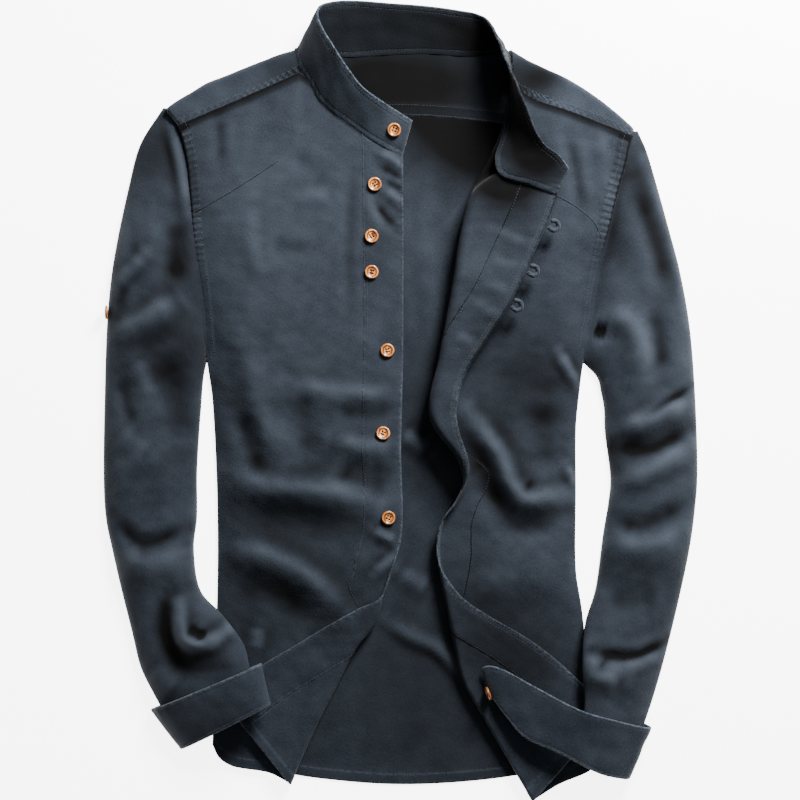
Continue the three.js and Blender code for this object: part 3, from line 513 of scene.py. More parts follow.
RIGHT_SLEEVE = table(
    "out_x out_y in_x in_y high tilt base",
    (-225.6, 277, -184, 35.5, 9, 0, 0.6),
    (-247, 242, -185, 31, 14, 0, 0.6),
    (-258, 200, -186, 26, 16, 0, 0.6),
    (-268, 152, -187, 19, 17, 0, 0.6),
    (-274, 114, -188, 9, 17, 0, 0.6),
    (-278, 66, -189, -6, 16, 0, 0.6),
    (-280, 0, -191, -32, 15, 0, 0.6),
    (-281, -66, -193, -70, 15, 0, 0.6),
    (-279, -110, -193, -110, 16, 0, 0.6),
    (-272, -145, -196, -142, 16, 0, 0.6),
    (-264, -180, -190, -180, 15, 1, 0.6),
    (-254, -220, -168, -203, 14, 12, 0.8),
    (-246, -252, -148, -228, 13, 22, 2),
    (-234, -276, -142, -247, 9, 24, 5.6),
    (-220, -300, -138, -267, 8, 24, 6.2),
    (-206, -316, -133, -279, 7, 24, 6.2),
)
LEFT_SLEEVE = table(
    "out_x out_y in_x in_y high tilt base",
    (227, 255, 175, 35, 9, 0, 0.6),
    (235, 236, 180, 30, 14, 0, 0.6),
    (243, 208, 185, 25, 16, 0, 0.6),
    (255, 163, 189, 18, 17, 0, 0.6),
    (266, 119, 191, 8, 17, 0, 0.6),
    (275, 66, 194, -8, 17, 0, 0.6),
    (280, 0, 195, -32, 16, 0, 0.6),
    (282, -66, 200, -72, 15, 0, 0.6),
    (280, -100, 198, -98, 15, 0, 0.6),
    (275, -138, 193, -128, 15, 0, 0.6),
    (266, -182, 186, -178, 14, 2, 0.6),
    (254, -232, 175, -212, 12, 12, 0.8),
    (242, -274, 172, -252, 9, 17, 3.4),
    (230, -310, 174, -286, 7, 17, 4.3),
    (219, -340, 170, -318, 7, 17, 4.3),
)
RIGHT_SLEEVE_FOLDS = (
    (12.5, 6, -0.1, (-273, 61), (-244, 74), (-209, 97)),
    (19, -4.5, 0, (-230, 51), (-211, 5), (-207, -46)),
    (14, 5, -0.2, (-272, -142), (-242, -156), (-196, -144)),
    (12.5, -4.6, 0, (-200, -179), (-220, -190), (-222, -220), (-205, -249), (-169, -249)),
    (7.5, 6, 0, (-208, -192), (-203, -226), (-180, -228), (-162, -215)),
)
LEFT_SLEEVE_FOLDS = (
    (12.5, 6, 0, (190, 83), (214, 74), (226, 52), (228, 21)),
    (12.5, -4, 0, (239, 93), (246, 57), (249, 21)),
    (10.5, 6, -0.1, (205, -27), (228, -20), (252, -10), (276, -4)),
    (10.5, -4.4, 0, (201, -45), (238, -45), (275, -28)),
    (11.5, 5, 0, (201, -80), (233, -68), (276, -41)),
    (11.5, -4.6, 0, (196, -107), (224, -116), (276, -96)),
    (14, 5, -0.2, (195, -136), (238, -138), (270, -125)),
    (11.5, 6, 0, (175, -233), (182, -257), (210, -261)),
)
RIGHT_CUFF = table(
    "out_x out_y in_x in_y high",
    (-236, -293, -131, -247, 17),
    (-222, -312, -127, -266, 17),
    (-207, -331, -122, -286, 15),
)
LEFT_CUFF = table(
    "top_x top_y top_z low_x low_y low_z",
    (217, -300, 1.3, 198, -351, 1.3),
    (228, -305, 1.3, 207, -355, 1.3),
    (235, -308, 3.4, 214, -358, 3.4),
    (237, -309, 10, 216, -358, 10),
    (231, -308, 19, 209, -357, 18),
    (205, -301, 28, 185, -350, 26),
    (169, -290, 32, 148, -331, 26),
    (131, -271, 28, 118, -318, 22),
    (103, -256, 24, 102, -301, 20),
    (87, -250, 21, 93, -289, 18),
    (78, -252, 17.5, 87, -281, 16),
    (80, -259, 14.4, 91, -285, 14),
)

# Finer creases of the cloth, in the same columns as its folds.
RIGHT_CREASES = (
    (11.5, -3.2, 0, (-152, -4), (-142, -38), (-128, -74)),
    (13.5, -2.6, 0, (-98, 13), (-91, -19), (-83, -57)),
    (11.5, -2.4, 0, (-64, -12), (-33, -10), (-2, -9)),
    (16, -2.6, 0, (-165, -180), (-114, -186), (-84, -215)),
    (7.5, 2.2, 0, (-135, -214), (-137, -239)),
    (5.5, 2.6, 0.2, (-27, -124), (-4, -134)),
    (5.5, 2, 0, (-25, -165), (-2, -145)),
    (6.5, -1.6, 0, (-170, 268), (-168, 220)),
    (7.5, 1, 0, (-109, 190), (-62, 194)),
    (8.5, -1.5, 0, (-125, 145), (-84, 141)),
    (9.5, 1.6, 0, (-142, 190), (-139, 142), (-127, 104)),
    (11.5, -1.4, 0, (-103, 238), (-66, 201)),
    (5, 2, 0.3, (-21, 233), (-8, 228), (3, 218)),
    (4, -1.4, 0, (-19, 220), (2, 209)),
    (5, 1.5, 0.2, (-15, 198), (4, 184)),
    (4, -1.2, 0, (-15, 208), (3, 198)),
    (5, -1.2, 0, (-23, 185), (-4, 163)),
    (5, 0.9, 0, (-32, 200), (-21, 163)),
    (6.5, -0.9, 0, (-42, 228), (-48, 152), (-46, 76)),
)
LEFT_CREASES = (
    (5.5, 2.5, 0, (150, 46), (168, 14)),
    (5, 2, 0, (158, -62), (168, -81)),
    (5, 0.9, 0, (87, 160), (119, 146)),
    (5, 0.8, 0, (81, 131), (114, 125)),
    (5.5, 0.8, 0, (74, 109), (103, 102)),
    (5.5, 0.8, 0, (66, 93), (95, 78)),
    (5.5, 0.8, 0, (52, 62), (71, 52)),
    (6.5, -1.8, 0, (158, 252), (167, 218), (173, 176)),
    (7.5, 1.2, 0, (190, 256), (196, 190)),
)
BACK_CREASES = (
    (5.5, 2.2, 0.4, (83, 255), (72, 162), (66, 66)),
    (11.5, 2.6, 0, (22, 238), (19, 152), (27, 66)),
    (8.5, -0.6, 0, (52, 238), (44, 76)),
    (7.5, 1.6, 0, (2, 200), (4, 124), (10, 48)),
    (6.5, 1.4, 0, (24, -34), (43, -38)),
    (5.5, 1.5, 0.3, (49, -190), (70, -228)),
    (5.5, 2.4, 0, (-57, 326), (66, 329)),
    (9.5, 1.6, 0, (-19, 290), (28, 296)),
)
RIGHT_SLEEVE_CREASES = (
    (7.5, 3, 0, (-268, 106), (-256, 122), (-241, 137)),
    (14, -3.6, 0, (-213, 176), (-211, 106)),
    (5, 2.5, 0, (-217, 264), (-207, 223), (-200, 176)),
    (8.5, -3, 0, (-270, -108), (-244, -133), (-200, -120)),
    (5, -3.4, 0, (-191, -218), (-184, -225)),
    (11.5, 2.6, 0, (-239, -255), (-211, -277)),
    (9, 2.2, 0, (-250, 41), (-235, 0)),
    (8, -2, 0, (-266, 25), (-250, -27)),
    (11.5, 2, 0, (-266, -28), (-238, -53)),
    (8.5, 1.6, 0, (-266, 190), (-255, 95)),
    (8, -2, 0, (-252, 142), (-266, 78)),
    (9.5, 1.4, 0, (-274, -66), (-238, -52)),
)
LEFT_SLEEVE_CREASES = (
    (7.5, -5, 0, (182, 66), (196, 63)),
    (8.5, 3, 0, (233, 228), (262, 152), (272, 76)),
    (11.5, -3.6, 0, (220, 209), (243, 142), (251, 95)),
    (6.5, 2.5, 0, (205, 238), (188, 138)),
    (16, -2.6, 0, (192, -191), (250, -184)),
    (6.5, -3.6, 0, (181, -236), (222, -241), (253, -227)),
    (5.5, -2, 0, (228, -19), (276, 14)),
    (6.5, 2, 0, (207, -253), (249, -239)),
)


# Broad patches of painted light (positive amounts) and painted shade (negative amounts): middle, reach
# and amount of each.
RIGHT_PAINTED_SHADING = (
    (-125, 170, 62, 0.45),
    (-140, 60, 60, 0.15),
    (-60, 130, 45, -0.15),
    (-20, 165, 30, -0.2),
    (-95, -110, 55, -0.35),
    (-130, -200, 55, -0.4),
    (-50, -190, 45, -0.3),
    (-185, -20, 40, -0.3),
)
LEFT_PAINTED_SHADING = (
    (150, 225, 35, 0.2),
    (105, 212, 36, -1.6),
    (75, 215, 20, -0.6),
    (85, 130, 26, 0.3),
    (110, 40, 55, -0.35),
    (130, 0, 45, -0.4),
    (60, -60, 45, -0.5),
    (120, -170, 45, 0.15),
    (110, -240, 60, -0.7),
    (70, -170, 40, -0.3),
)
BACK_PAINTED_SHADING = (
    (20, 300, 90, -0.75),
    (78, 240, 42, -1),
    (40, 275, 40, -0.5),
    (10, 180, 40, 0.1),
    (20, -20, 90, -0.5),
    (-10, -230, 90, -0.3),
    (30, -320, 80, -0.35),
    (-150, -330, 60, -0.8),
    (160, -330, 60, -0.8),
)
YOKE_PAINTED_SHADING = (
    (0, 300, 70, -0.75),
    (60, 300, 50, -0.55),
    (-50, 300, 50, -0.55),
    (112, 300, 24, -0.5),
    (138, 305, 20, -0.7),
    (-170, 282, 22, 0.25),
    (-112, 315, 22, -0.4),
    (170, 280, 24, 0.2),
)
COLLAR_PAINTED_SHADING = (
    (0, 350, 75, -0.8),
    (80, 340, 40, -0.7),
    (112, 285, 34, -1),
    (128, 232, 34, -1.3),
    (-60, 345, 30, -0.3),
    (-45, 285, 30, 0.35),
    (-12, 252, 18, 0.2),
)
SLEEVE_PAINTED_SHADING = (
    (-205, 125, 34, -0.6),
    (-200, 40, 45, -0.7),
    (-185, 160, 25, -0.4),
    (-200, -60, 40, -0.25),
    (-228, 235, 42, -0.6),
    (-250, 170, 25, 0.3),
    (-215, -230, 32, -0.4),
    (200, 150, 30, -0.5),
    (258, 130, 34, -0.25),
    (205, -50, 22, -0.6),
    (240, 218, 42, -0.6),
    (215, 60, 30, 0.25),
    (215, -180, 45, -0.25),
    (240, -90, 45, 0.15),
)


def wrinkle(x, y):
    """Small unevenness of washed cotton."""
    return 0.34 * drift(x, y, 62, 1) + 0.16 * drift(x, y, 23, 2)


class Lay:
    """Height of a front's middle surface over the plan."""

    def __init__(self, side, rows, fold_rows, creases, middle_x, patches):
        self.patches = patches
        self.side = side
        self.rows = rows
        self.fold_rows = fold_rows
        self.creases = creases
        self.middle_x = middle_x

    def height(self, x, y):
        side_x = read(self.side, "y", "x", y)
        t = np.clip((x - side_x) / (self.middle_x - side_x), 0, 1)
        low = read(self.rows, "y", "side", y)
        high = read(self.rows, "y", "puff", y)
        middle = read(self.rows, "y", "middle", y)
        rise = 1 - (1 - np.minimum(1, t / 0.28)) ** 2.2
        level = mix(mix(low, high, rise), middle, ease(t, 0.45, 1))
        inside = ease(t, 0, 0.06)
        fade = ease(t, 0, 0.12) * (1 - ease(y, 225, 250))
        fine = (folds(self.creases, x, y) + wrinkle(x, y)) * inside
        return level + folds(self.fold_rows, x, y) * fade + fine

    # Painted shading of the front: painted shade in the hollows of its folds and creases, painted
    # highlight on their crests, and broad patches of painted light and shade.
    def paint_light_and_shade(self, points):
        return paint_light_and_shade(self.fold_rows + self.creases, points[..., 0], points[..., 1], self.patches)


def laid_out(length, bend):
    """Plan distance from a turn for a length of cloth."""
    half = math.pi * bend / 2
    near = bend * (1 - np.cos(np.minimum(length, half) / bend))
    return np.where(length >= half, bend + length - half, near)


def taken_up(distance, bend):
    """Length of cloth for a plan distance from a turn."""
    near = bend * np.arccos(np.clip(1 - distance / bend, -1, 1))
    return np.where(distance >= bend, distance - bend + math.pi * bend / 2, near)


class Front:
    """A front as cloth, by the length along its edge and the width from its turn."""

    def __init__(self, edge, side, top, hem, lay):
        self.edge = edge
        self.side = side
        self.top = top
        self.hem = hem
        self.lay = lay

    def side_at(self, v):
        y = mix(self.top(0.0)[1], self.hem(0.0)[1], v)
        return np.stack([read(self.side, "y", "x", y), y], axis=-1)

    def edge_at(self, x, y, along):
        return np.stack([read(self.edge, "along", name, along) for name in (x, y)], axis=-1)

    def sizes(self, along):
        """Widths in front of the turn and beyond it, and the turn's radius."""
        turn = self.edge_at("turn_x", "turn_y", along)
        edge = self.edge_at("edge_x", "edge_y", along)
        bend = np.maximum(read(self.edge, "along", "round", along), 0.01)
        width = np.linalg.norm(turn - self.side_at(along / FRONT_LENGTH), axis=-1)
        reach = np.linalg.norm(turn - edge, axis=-1)
        return {
            "turn": turn,
            "out": (edge - turn) / np.maximum(reach, 0.001)[..., None],
            "bend": bend,
            "width": width,
            "before": taken_up(width, bend),
            "beyond": taken_up(reach, bend),
        }

    def bow(self, rim, u):
        chord = mix(rim(0.0), rim(1.0), u[..., None])
        return rim(u) - chord

    def place(self, along, beyond_turn):
        """Points for rows of lengths along the edge and widths beyond the turn."""
        size = self.sizes(along)
        column = {name: value[:, None] for name, value in size.items()}
        gone = laid_out(np.abs(beyond_turn), column["bend"])
        v = (along / FRONT_LENGTH)[:, None, None]
        u = 1 - gone / column["width"]
        flat = mix(self.side_at(along / FRONT_LENGTH)[:, None], column["turn"], u[..., None])
        flat = flat + self.bow(self.top, u) * (1 - v) ** 4 + self.bow(self.hem, u) * v**4
        back = column["turn"] + column["out"] * gone[..., None]
        spot = np.where(beyond_turn[..., None] > 0, back, flat)
        angle = np.clip(beyond_turn / column["bend"], -math.pi / 2, math.pi / 2)
        lift = column["bend"] * (1 + np.sin(angle))
        x = spot[..., 0]
        y = spot[..., 1]
        return stack(x, y, self.lay.height(x, y) + lift)


right_lay = Lay(RIGHT_SIDE, RIGHT_LAY, RIGHT_FOLDS, RIGHT_CREASES, 3, RIGHT_PAINTED_SHADING)
left_lay = Lay(LEFT_SIDE, LEFT_LAY, LEFT_FOLDS, LEFT_CREASES, 40, LEFT_PAINTED_SHADING)
right_front = Front(
    RIGHT_EDGE,
    RIGHT_SIDE,
    joined(curve(RIGHT_YOKE_SEAM), curve(RIGHT_NECK), 0.5),
    curve(RIGHT_HEM),
    right_lay,
)
left_front = Front(
    LEFT_EDGE,
    LEFT_SIDE,
    joined(curve(LEFT_YOKE_SEAM), curve(LEFT_NECK), 0.6),
    curve(LEFT_HEM),
    left_lay,
)


def gaps(points, closed=False):
    """Directions across and down a grid of points."""
    if closed:
        across = np.roll(points, -1, axis=1) - np.roll(points, 1, axis=1)
    else:
        across = np.gradient(points, axis=1)
    return across, np.gradient(points, axis=0)


def normals(points, closed=False):
    """Unit normals of a grid of points."""
    across, down = gaps(points, closed)
    normal = np.cross(across, down)
    return normal / np.maximum(np.linalg.norm(normal, axis=-1, keepdims=True), 1e-9)


def lengths(points, axis):
    """Length along each row or column of a grid, from its start."""
    steps = np.linalg.norm(np.diff(points, axis=axis), axis=-1)
    start = np.zeros_like(np.take(steps, [0], axis=axis))
    return np.concatenate([start, np.cumsum(steps, axis=axis)], axis=axis)


class Cloth:
    """A sheet of cloth as a grid of points through its middle, with its thickness."""

    def __init__(self, middle, thick, relief=0.0, wear_and_painted_light=0.0, closed=False, painted_shading=0.0):
        self.middle = middle
        self.closed = closed
        self.down = lengths(middle, 0)
        self.across = lengths(middle, 1)
        self.normal = normals(middle, closed)
        shape = middle.shape[:2]
        thick = np.broadcast_to(thick, shape)
        ends = np.minimum(self.down, self.down[-1:] - self.down)
        if not closed:
            sides = np.minimum(self.across, self.across[:, -1:] - self.across)
            ends = np.minimum(ends, sides)
        self.thick = rounded(ends, thick)
        self.relief = np.broadcast_to(relief, shape)
        edge = ridge(ends, 1.5)
        # Painted shading: below 0 painted shade, above 0 painted highlight; painted shade also dims the
        # pale rubbed edges.
        self.painted_shading = np.clip(np.broadcast_to(painted_shading, shape), -1, 1)
        rubbed = (np.broadcast_to(wear_and_painted_light, shape) + 0.8 * edge) * (1 + 0.9 * np.minimum(self.painted_shading, 0))
        self.wear_and_painted_light = np.clip(rubbed, 0, 1)

    def face(self, side):
        """Points of one face; side is 1 or -1."""
        offset = self.relief + side * self.thick / 2
        return self.middle + self.normal * offset[..., None]

    def seen(self):
        """Points of the cloth's upper face as it lies, with the directions up from them."""
        up = np.where(self.normal[..., 2] >= 0, 1.0, -1.0)
        offset = self.relief + up * self.thick / 2
        return self.middle + self.normal * offset[..., None], self.normal * up[..., None]

    def mesh(self, name):
        """Closed mesh of the sheet, with its cloth sizes as a UV map."""
        upper = self.face(1)
        lower = self.face(-1)
        flat = np.stack([self.across, self.down], axis=-1)
        # Attributes for the material: the rubbed-cloth one also carries painted highlights, the shading
        # one painted shade and highlight.
        values = {"wear_and_painted_light": self.wear_and_painted_light, "painted_shading": self.painted_shading}
        if self.closed:
            close = np.linalg.norm(self.middle[:, :1] - self.middle[:, -1:], axis=-1)
            last = flat[:, -1:] + np.stack([close, np.zeros_like(close)], axis=-1)
            flat = np.concatenate([flat, last], axis=1)
            upper = self.ring(upper)
            lower = self.ring(lower)
            values = {label: self.ring(grid) for label, grid in values.items()}
        points = self.shut(upper, lower)
        points[..., 2] = np.maximum(points[..., 2], ABOVE_FLOOR)
        values = {label: self.shut(grid, grid) for label, grid in values.items()}
        return grid_mesh(name, points, self.shut(flat, flat), values)

    def ring(self, grid):
        """A tube's grid with its first column again at the end."""
        return np.concatenate([grid, grid[:, :1]], axis=1)

    def shut(self, upper, lower):
        """Grid of one face that goes on round the border to the other."""
        if self.closed:
            return np.concatenate([upper, lower[-2::-1]], axis=0)
        return np.concatenate([upper, lower[:, -2::-1]], axis=1)


def grid_mesh(name, points, flat, values):
    """Mesh of a grid whose borders meet, welded there."""
    rows, columns = points.shape[:2]
    form = bmesh.new()
    bmesh.ops.create_grid(form, x_segments=columns - 1, y_segments=rows - 1, size=1)
    mesh = bpy.data.meshes.new(name)
    form.to_mesh(mesh)
    form.free()
    shift = np.array([CENTRE_X, CENTRE_Y, 0])
    mesh.vertices.foreach_set("co", ((points - shift) * MM).reshape(-1))
    corners = np.empty(len(mesh.loops), np.int32)
    mesh.loops.foreach_get("vertex_index", corners)
    layer = mesh.uv_layers.new(name="Cloth")
    layer.data.foreach_set("uv", (flat.reshape(-1, 2)[corners] * MM).reshape(-1))
    for label, grid in values.items():
        kept = mesh.attributes.new(label, "FLOAT", "POINT")
        kept.data.foreach_set("value", np.ascontiguousarray(grid, np.float32).reshape(-1))
    form = bmesh.new()
    form.from_mesh(mesh)
    bmesh.ops.remove_doubles(form, verts=form.verts, dist=1e-6)
    if form.calc_volume(signed=True) < 0:
        bmesh.ops.reverse_faces(form, faces=form.faces)
    for face in form.faces:
        face.smooth = True
    form.to_mesh(mesh)
    form.free()
    return mesh


def put(name, mesh, material):
    """Object of a mesh that moves with the shirt."""
    piece = bpy.data.objects.new(name, mesh)
    bpy.context.scene.collection.objects.link(piece)
    mesh.materials.append(material)
    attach(piece, "root")
    return piece


def material(name):
    """Material made earlier by the materials operator."""
    found = bpy.data.materials.get(name)
    if found is None:
        raise RuntimeError(f"the material {name} has to be made first")
    return found


# Sheets of cloth laid so far, by the names of the solids that they stand for.
CLOTHS = {}


def lay_cloth(name, cloth, finish):
    """Piece of a sheet of cloth that stands for its plain solid."""
    piece = put(name, cloth.mesh(name), material(finish))
    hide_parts(name.removesuffix("_cloth"))
    CLOTHS[name.removesuffix("_cloth")] = cloth
    return piece


def spread(length, near, far, count):
    """Distances across rows of different lengths: fixed ones at both borders, even between."""
    length = np.asarray(length, float)[:, None]
    start = near[None, :]
    stop = length - far[::-1][None, :]
    share = np.linspace(0, 1, count + 2)[1:-1][None, :]
    between = mix(start[:, -1:], stop[:, :1], share)
    wide = (length.shape[0], len(near))
    return np.concatenate([np.broadcast_to(start, wide), between, stop], axis=1)


def puckers(along, away, seed, wide=5.0, pitch=7.5, rise=0.3):
    """Small uneven gathers beside a line of stitching."""
    wave = np.sin(6.28 * along / pitch + 1.6 * np.sin(along / 19 + seed) + seed)
    uneven = 0.6 + 0.4 * np.sin(along / 31 + 2 * seed)
    return rise * wave * uneven * ridge(away, wide)


def rungs(along, away, seed, wide, pitch=6.2):
    """Short cross gathers between the two lines of a felled seam, from 0 to 1."""
    wave = 0.5 + 0.5 * np.sin(6.28 * along / pitch + 0.9 * np.sin(along / 23 + seed) + seed)
    uneven = 0.65 + 0.35 * np.sin(along / 17 + 2 * seed)
    return wave * uneven * plateau(away, 0, wide, 1.2)


def grooves(distance, lines, deep=0.35, wide=0.8):
    """How far lines of stitching draw the cloth in."""
    return sum(deep * ridge(distance - line, wide) for line in lines)


FRONT_ROWS = marks(0, FRONT_LENGTH, 2.1, (FRONT_LENGTH - 9,))
PANEL_ROWS = np.concatenate([[-4, -3.9, -3.7, -3.2, -2], FRONT_ROWS[3:]])
SEAM_NEAR = marks(0, 14, 1.4, (1.6, 8.6), (True, False))


def front_panel(front, seed):
    """Panel of a front, from the side seam to under the faced strip."""
    size = front.sizes(PANEL_ROWS)
    end = size["beyond"] - STRIP + 2.5
    second = np.minimum(1.7 * size["bend"], end - 9)
    first = np.minimum(-1.7 * size["bend"], end - 28)
    share = np.linspace(0, 1, 84)[1:]
    across = []
    for i in range(len(PANEL_ROWS)):
        near = SEAM_NEAR - size["before"][i]
        stops = (near[-1], first[i], second[i], end[i])
        across.append(np.concatenate([near, np.interp(share, (0, 0.62, 0.85, 1), stops)]))
    across = np.array(across)
    middle = front.place(PANEL_ROWS, across)
    side = across + size["before"][:, None]
    along = PANEL_ROWS[:, None]
    armhole = ease(middle[..., 1], 34, 62)
    hem = FRONT_LENGTH - along
    thick = CLOTH + 0.9 * plateau(side, 0.8, 9.2, 0.6) * armhole + 0.7 * plateau(hem, -1, 9.5, 0.5)
    thick = thick - grooves(side, (1.6, 8.6)) * armhole - grooves(hem, (9,))
    gathered = ease(middle[..., 1], 100, 150)
    gathers = rungs(along, side, seed, 9) * gathered
    relief = 0.8 * gathers + puckers(across, hem - 5, seed + 2, 4, 9)
    # Painted highlight on the crests of the felled seam's gathers; the pale line along the hem is
    # rubbed cloth.
    wear_and_painted_light = 0.55 * gathers + 0.4 * ridge(hem - 9.5, 1.2)
    # Painted shade along the panel's top edge under the yoke, along the armhole seam and across the
    # felled strip, paler on its gathers.
    seam = 1.6 * ridge(along + 1, 3.2) + 1.4 * ridge(side - 0.6, 1) * armhole
    seam = seam + 0.5 * plateau(side, 0, 9, 1) * gathered - 0.8 * gathers
    return Cloth(middle, thick, relief, wear_and_painted_light, painted_shading=front.lay.paint_light_and_shade(middle) - seam)


def front_strip(front, lines, seed, rubbed):
    """Faced strip along a front's edge, rubbed pale along its edge and its topstitching, those pale
    lines dimmer high up than low down, with painted shade along the facing's inner edge and, high up,
    along the front edge.
    """
    across = marks(-STRIP, 0, 1.9, [-line for line in lines])
    size = front.sizes(FRONT_ROWS)
    middle = front.place(FRONT_ROWS, size["beyond"][:, None] + across[None, :])
    edge = -across[None, :]
    hem = FRONT_LENGTH - FRONT_ROWS[:, None]
    thick = FACED - grooves(edge, lines, 0.5) + 0.5 * plateau(hem, -1, 9.5, 0.5) + 0 * middle[..., 0]
    relief = puckers(FRONT_ROWS[:, None], edge - 3, seed, 4, 8, 0.2)
    relief = relief + puckers(FRONT_ROWS[:, None], edge - 36, seed + 1, 4, 11, 0.16)
    wear_and_painted_light = sum(ridge(edge - line + 1.3, 0.8) for line in lines if line < 10)
    wear_and_painted_light = rubbed * wear_and_painted_light + 0 * middle[..., 0]
    # Pale lines dimmer high up than low down; painted shade along the facing's inner edge and, high up,
    # along the front edge.
    low = ease(FRONT_ROWS, 170, 250)[:, None]
    wear_and_painted_light = wear_and_painted_light * mix(1 - 0.8 * rubbed, 1 + 0.8 * rubbed, low)
    seam = 1.1 * rubbed * ridge(edge - 37.2, 1.2) + rubbed * ridge(edge - 1, 1.2) * (1 - low)
    return Cloth(middle, thick, relief, wear_and_painted_light, painted_shading=front.lay.paint_light_and_shade(middle) - seam)


back_top = curve(YOKE_BACK)
back_hem = curve(BACK_HEM)


def back_panel():
    """Back panel, flat on the surface, with low folds where it shows between the fronts."""
    down = marks(0, BACK_LENGTH, 3.6, (1.4, BACK_LENGTH - 9)) / BACK_LENGTH
    across = marks(0, BACK_WIDTH, 2.9) / BACK_WIDTH
    v = down[:, None]
    u = across[None, :]
    left_y = mix(back_top(0.0)[1], back_hem(0.0)[1], v)
    right_y = mix(back_top(1.0)[1], back_hem(1.0)[1], v)
    left_x = read(RIGHT_SIDE, "y", "x", left_y)
    right_x = read(LEFT_SIDE, "y", "x", right_y)
    top = back_top(across) - mix(back_top(0.0), back_top(1.0), across[:, None])
    hem = back_hem(across) - mix(back_hem(0.0), back_hem(1.0), across[:, None])
    x = mix(left_x, right_x, u) + top[:, 0] * (1 - v)
    y = mix(left_y, right_y, u) + top[:, 1] * (1 - v) + hem[:, 1] * v
    low = folds(BACK_FOLDS + BACK_CREASES, x, y) + 0.5 * np.maximum(wrinkle(x, y), 0)
    inside = ease(u, 0.02, 0.1) * (1 - ease(u, 0.9, 0.98))
    from_hem = (1 - v) * BACK_LENGTH
    thick = CLOTH + 0.7 * plateau(from_hem, -1, 9.5, 0.5) - grooves(from_hem, (9,))
    middle = stack(x, y, CLOTH / 2 + np.maximum(low, 0) * inside + 0 * u)
    relief = np.maximum(puckers(x, from_hem - 5, 3, 4, 9), 0)
    wear_and_painted_light = 0.4 * ridge(from_hem - 9.5, 1.2) + 0 * u
    # Painted shading of the back: painted shade in the hollows of its folds, painted highlight on their
    # crests, and broad patches, mostly of painted shadow in the neck and low down.
    return Cloth(middle, thick, relief, wear_and_painted_light, painted_shading=paint_light_and_shade(BACK_FOLDS, x, y, BACK_PAINTED_SHADING))


NECK_STATIONS = (5.6, 13.4)


def yoke_panel():
    """Yoke, from the front seams over the shoulders to the back seam."""
    ats = np.linspace(0, len(YOKE["x"]) - 1, 190)
    column = {name: station(YOKE, name, ats) for name in YOKE}
    first = YOKE["back_x"][0]
    last = YOKE["back_x"][-1]
    seam = back_top((column["back_x"] - first) / (last - first))
    rows = []
    floor = CLOTH / 2
    near = marks(0, 15, 1.5, (1.6, 8.6), (True, False))
    for i in range(len(ats)):
        high = max(column["high"][i], 0)
        x = column["fold_x"][i]
        y = column["fold_y"][i] - high / 2
        path = [(column["x"][i], column["y"][i], column["z"][i])]
        for angle in np.radians(np.linspace(0, 180, 13)):
            out = high / 2 * math.sin(angle)
            path.append((x, y + out, floor + high * (1 + math.cos(angle)) / 2))
        path.append((seam[i][0], seam[i][1] - 1, floor))
        path = np.array(path)
        if NECK_STATIONS[0] < ats[i] < NECK_STATIONS[1]:
            path[0, 1] += 4
        where = spread([run(path)[-1]], near, near, 34)[0]
        rows.append(along_line(path, where))
    middle = np.array(rows)
    length = lengths(middle, 1)
    front = length
    back = length[:, -1:] - length
    outer = 1 - ease(ats, 4.2, 5.2) + ease(ats, 12.8, 13.8)
    outer = outer[:, None]
    strip = plateau(front, -1, 9.2, 0.6) * outer + plateau(back, -1, 12, 0.6)
    thick = CLOTH + 0.9 * strip - grooves(front, (1.6, 8.6)) * outer - grooves(back, (1.6, 11))
    down = lengths(middle, 0)
    gathers = rungs(down, front, 1, 9) * outer
    relief = 0.8 * gathers + puckers(down, back - 6, 4, 5, 9, 0.2)
    relief = relief + 0.3 * drift(middle[..., 0], middle[..., 1], 40, 3)
    # Painted highlight on the crests of the gathers by the armholes; the pale line along the back seam
    # is rubbed cloth.
    wear_and_painted_light = 0.6 * gathers + 0.3 * ridge(back - 12, 1.2)
    # Painted shade along the yoke's front edge and across its felled strip, paler on the gathers; broad
    # patches of painted shadow in the neck and of painted light on the shoulders.
    seam = 1.6 * ridge(front - 0.6, 1.1) + 0.5 * plateau(front, 0, 9, 1) - 0.8 * gathers
    seam = seam * outer
    painted_shading = paint_light_and_shade((), middle[..., 0], middle[..., 1], YOKE_PAINTED_SHADING) - seam
    return Cloth(middle, thick, relief, wear_and_painted_light, painted_shading=painted_shading)


def edge_line(rows, edge, ats):
    """Points of one edge of a band, from its table."""
    return np.stack([station(rows, f"{edge}_{k}", ats) for k in "xyz"], axis=-1)


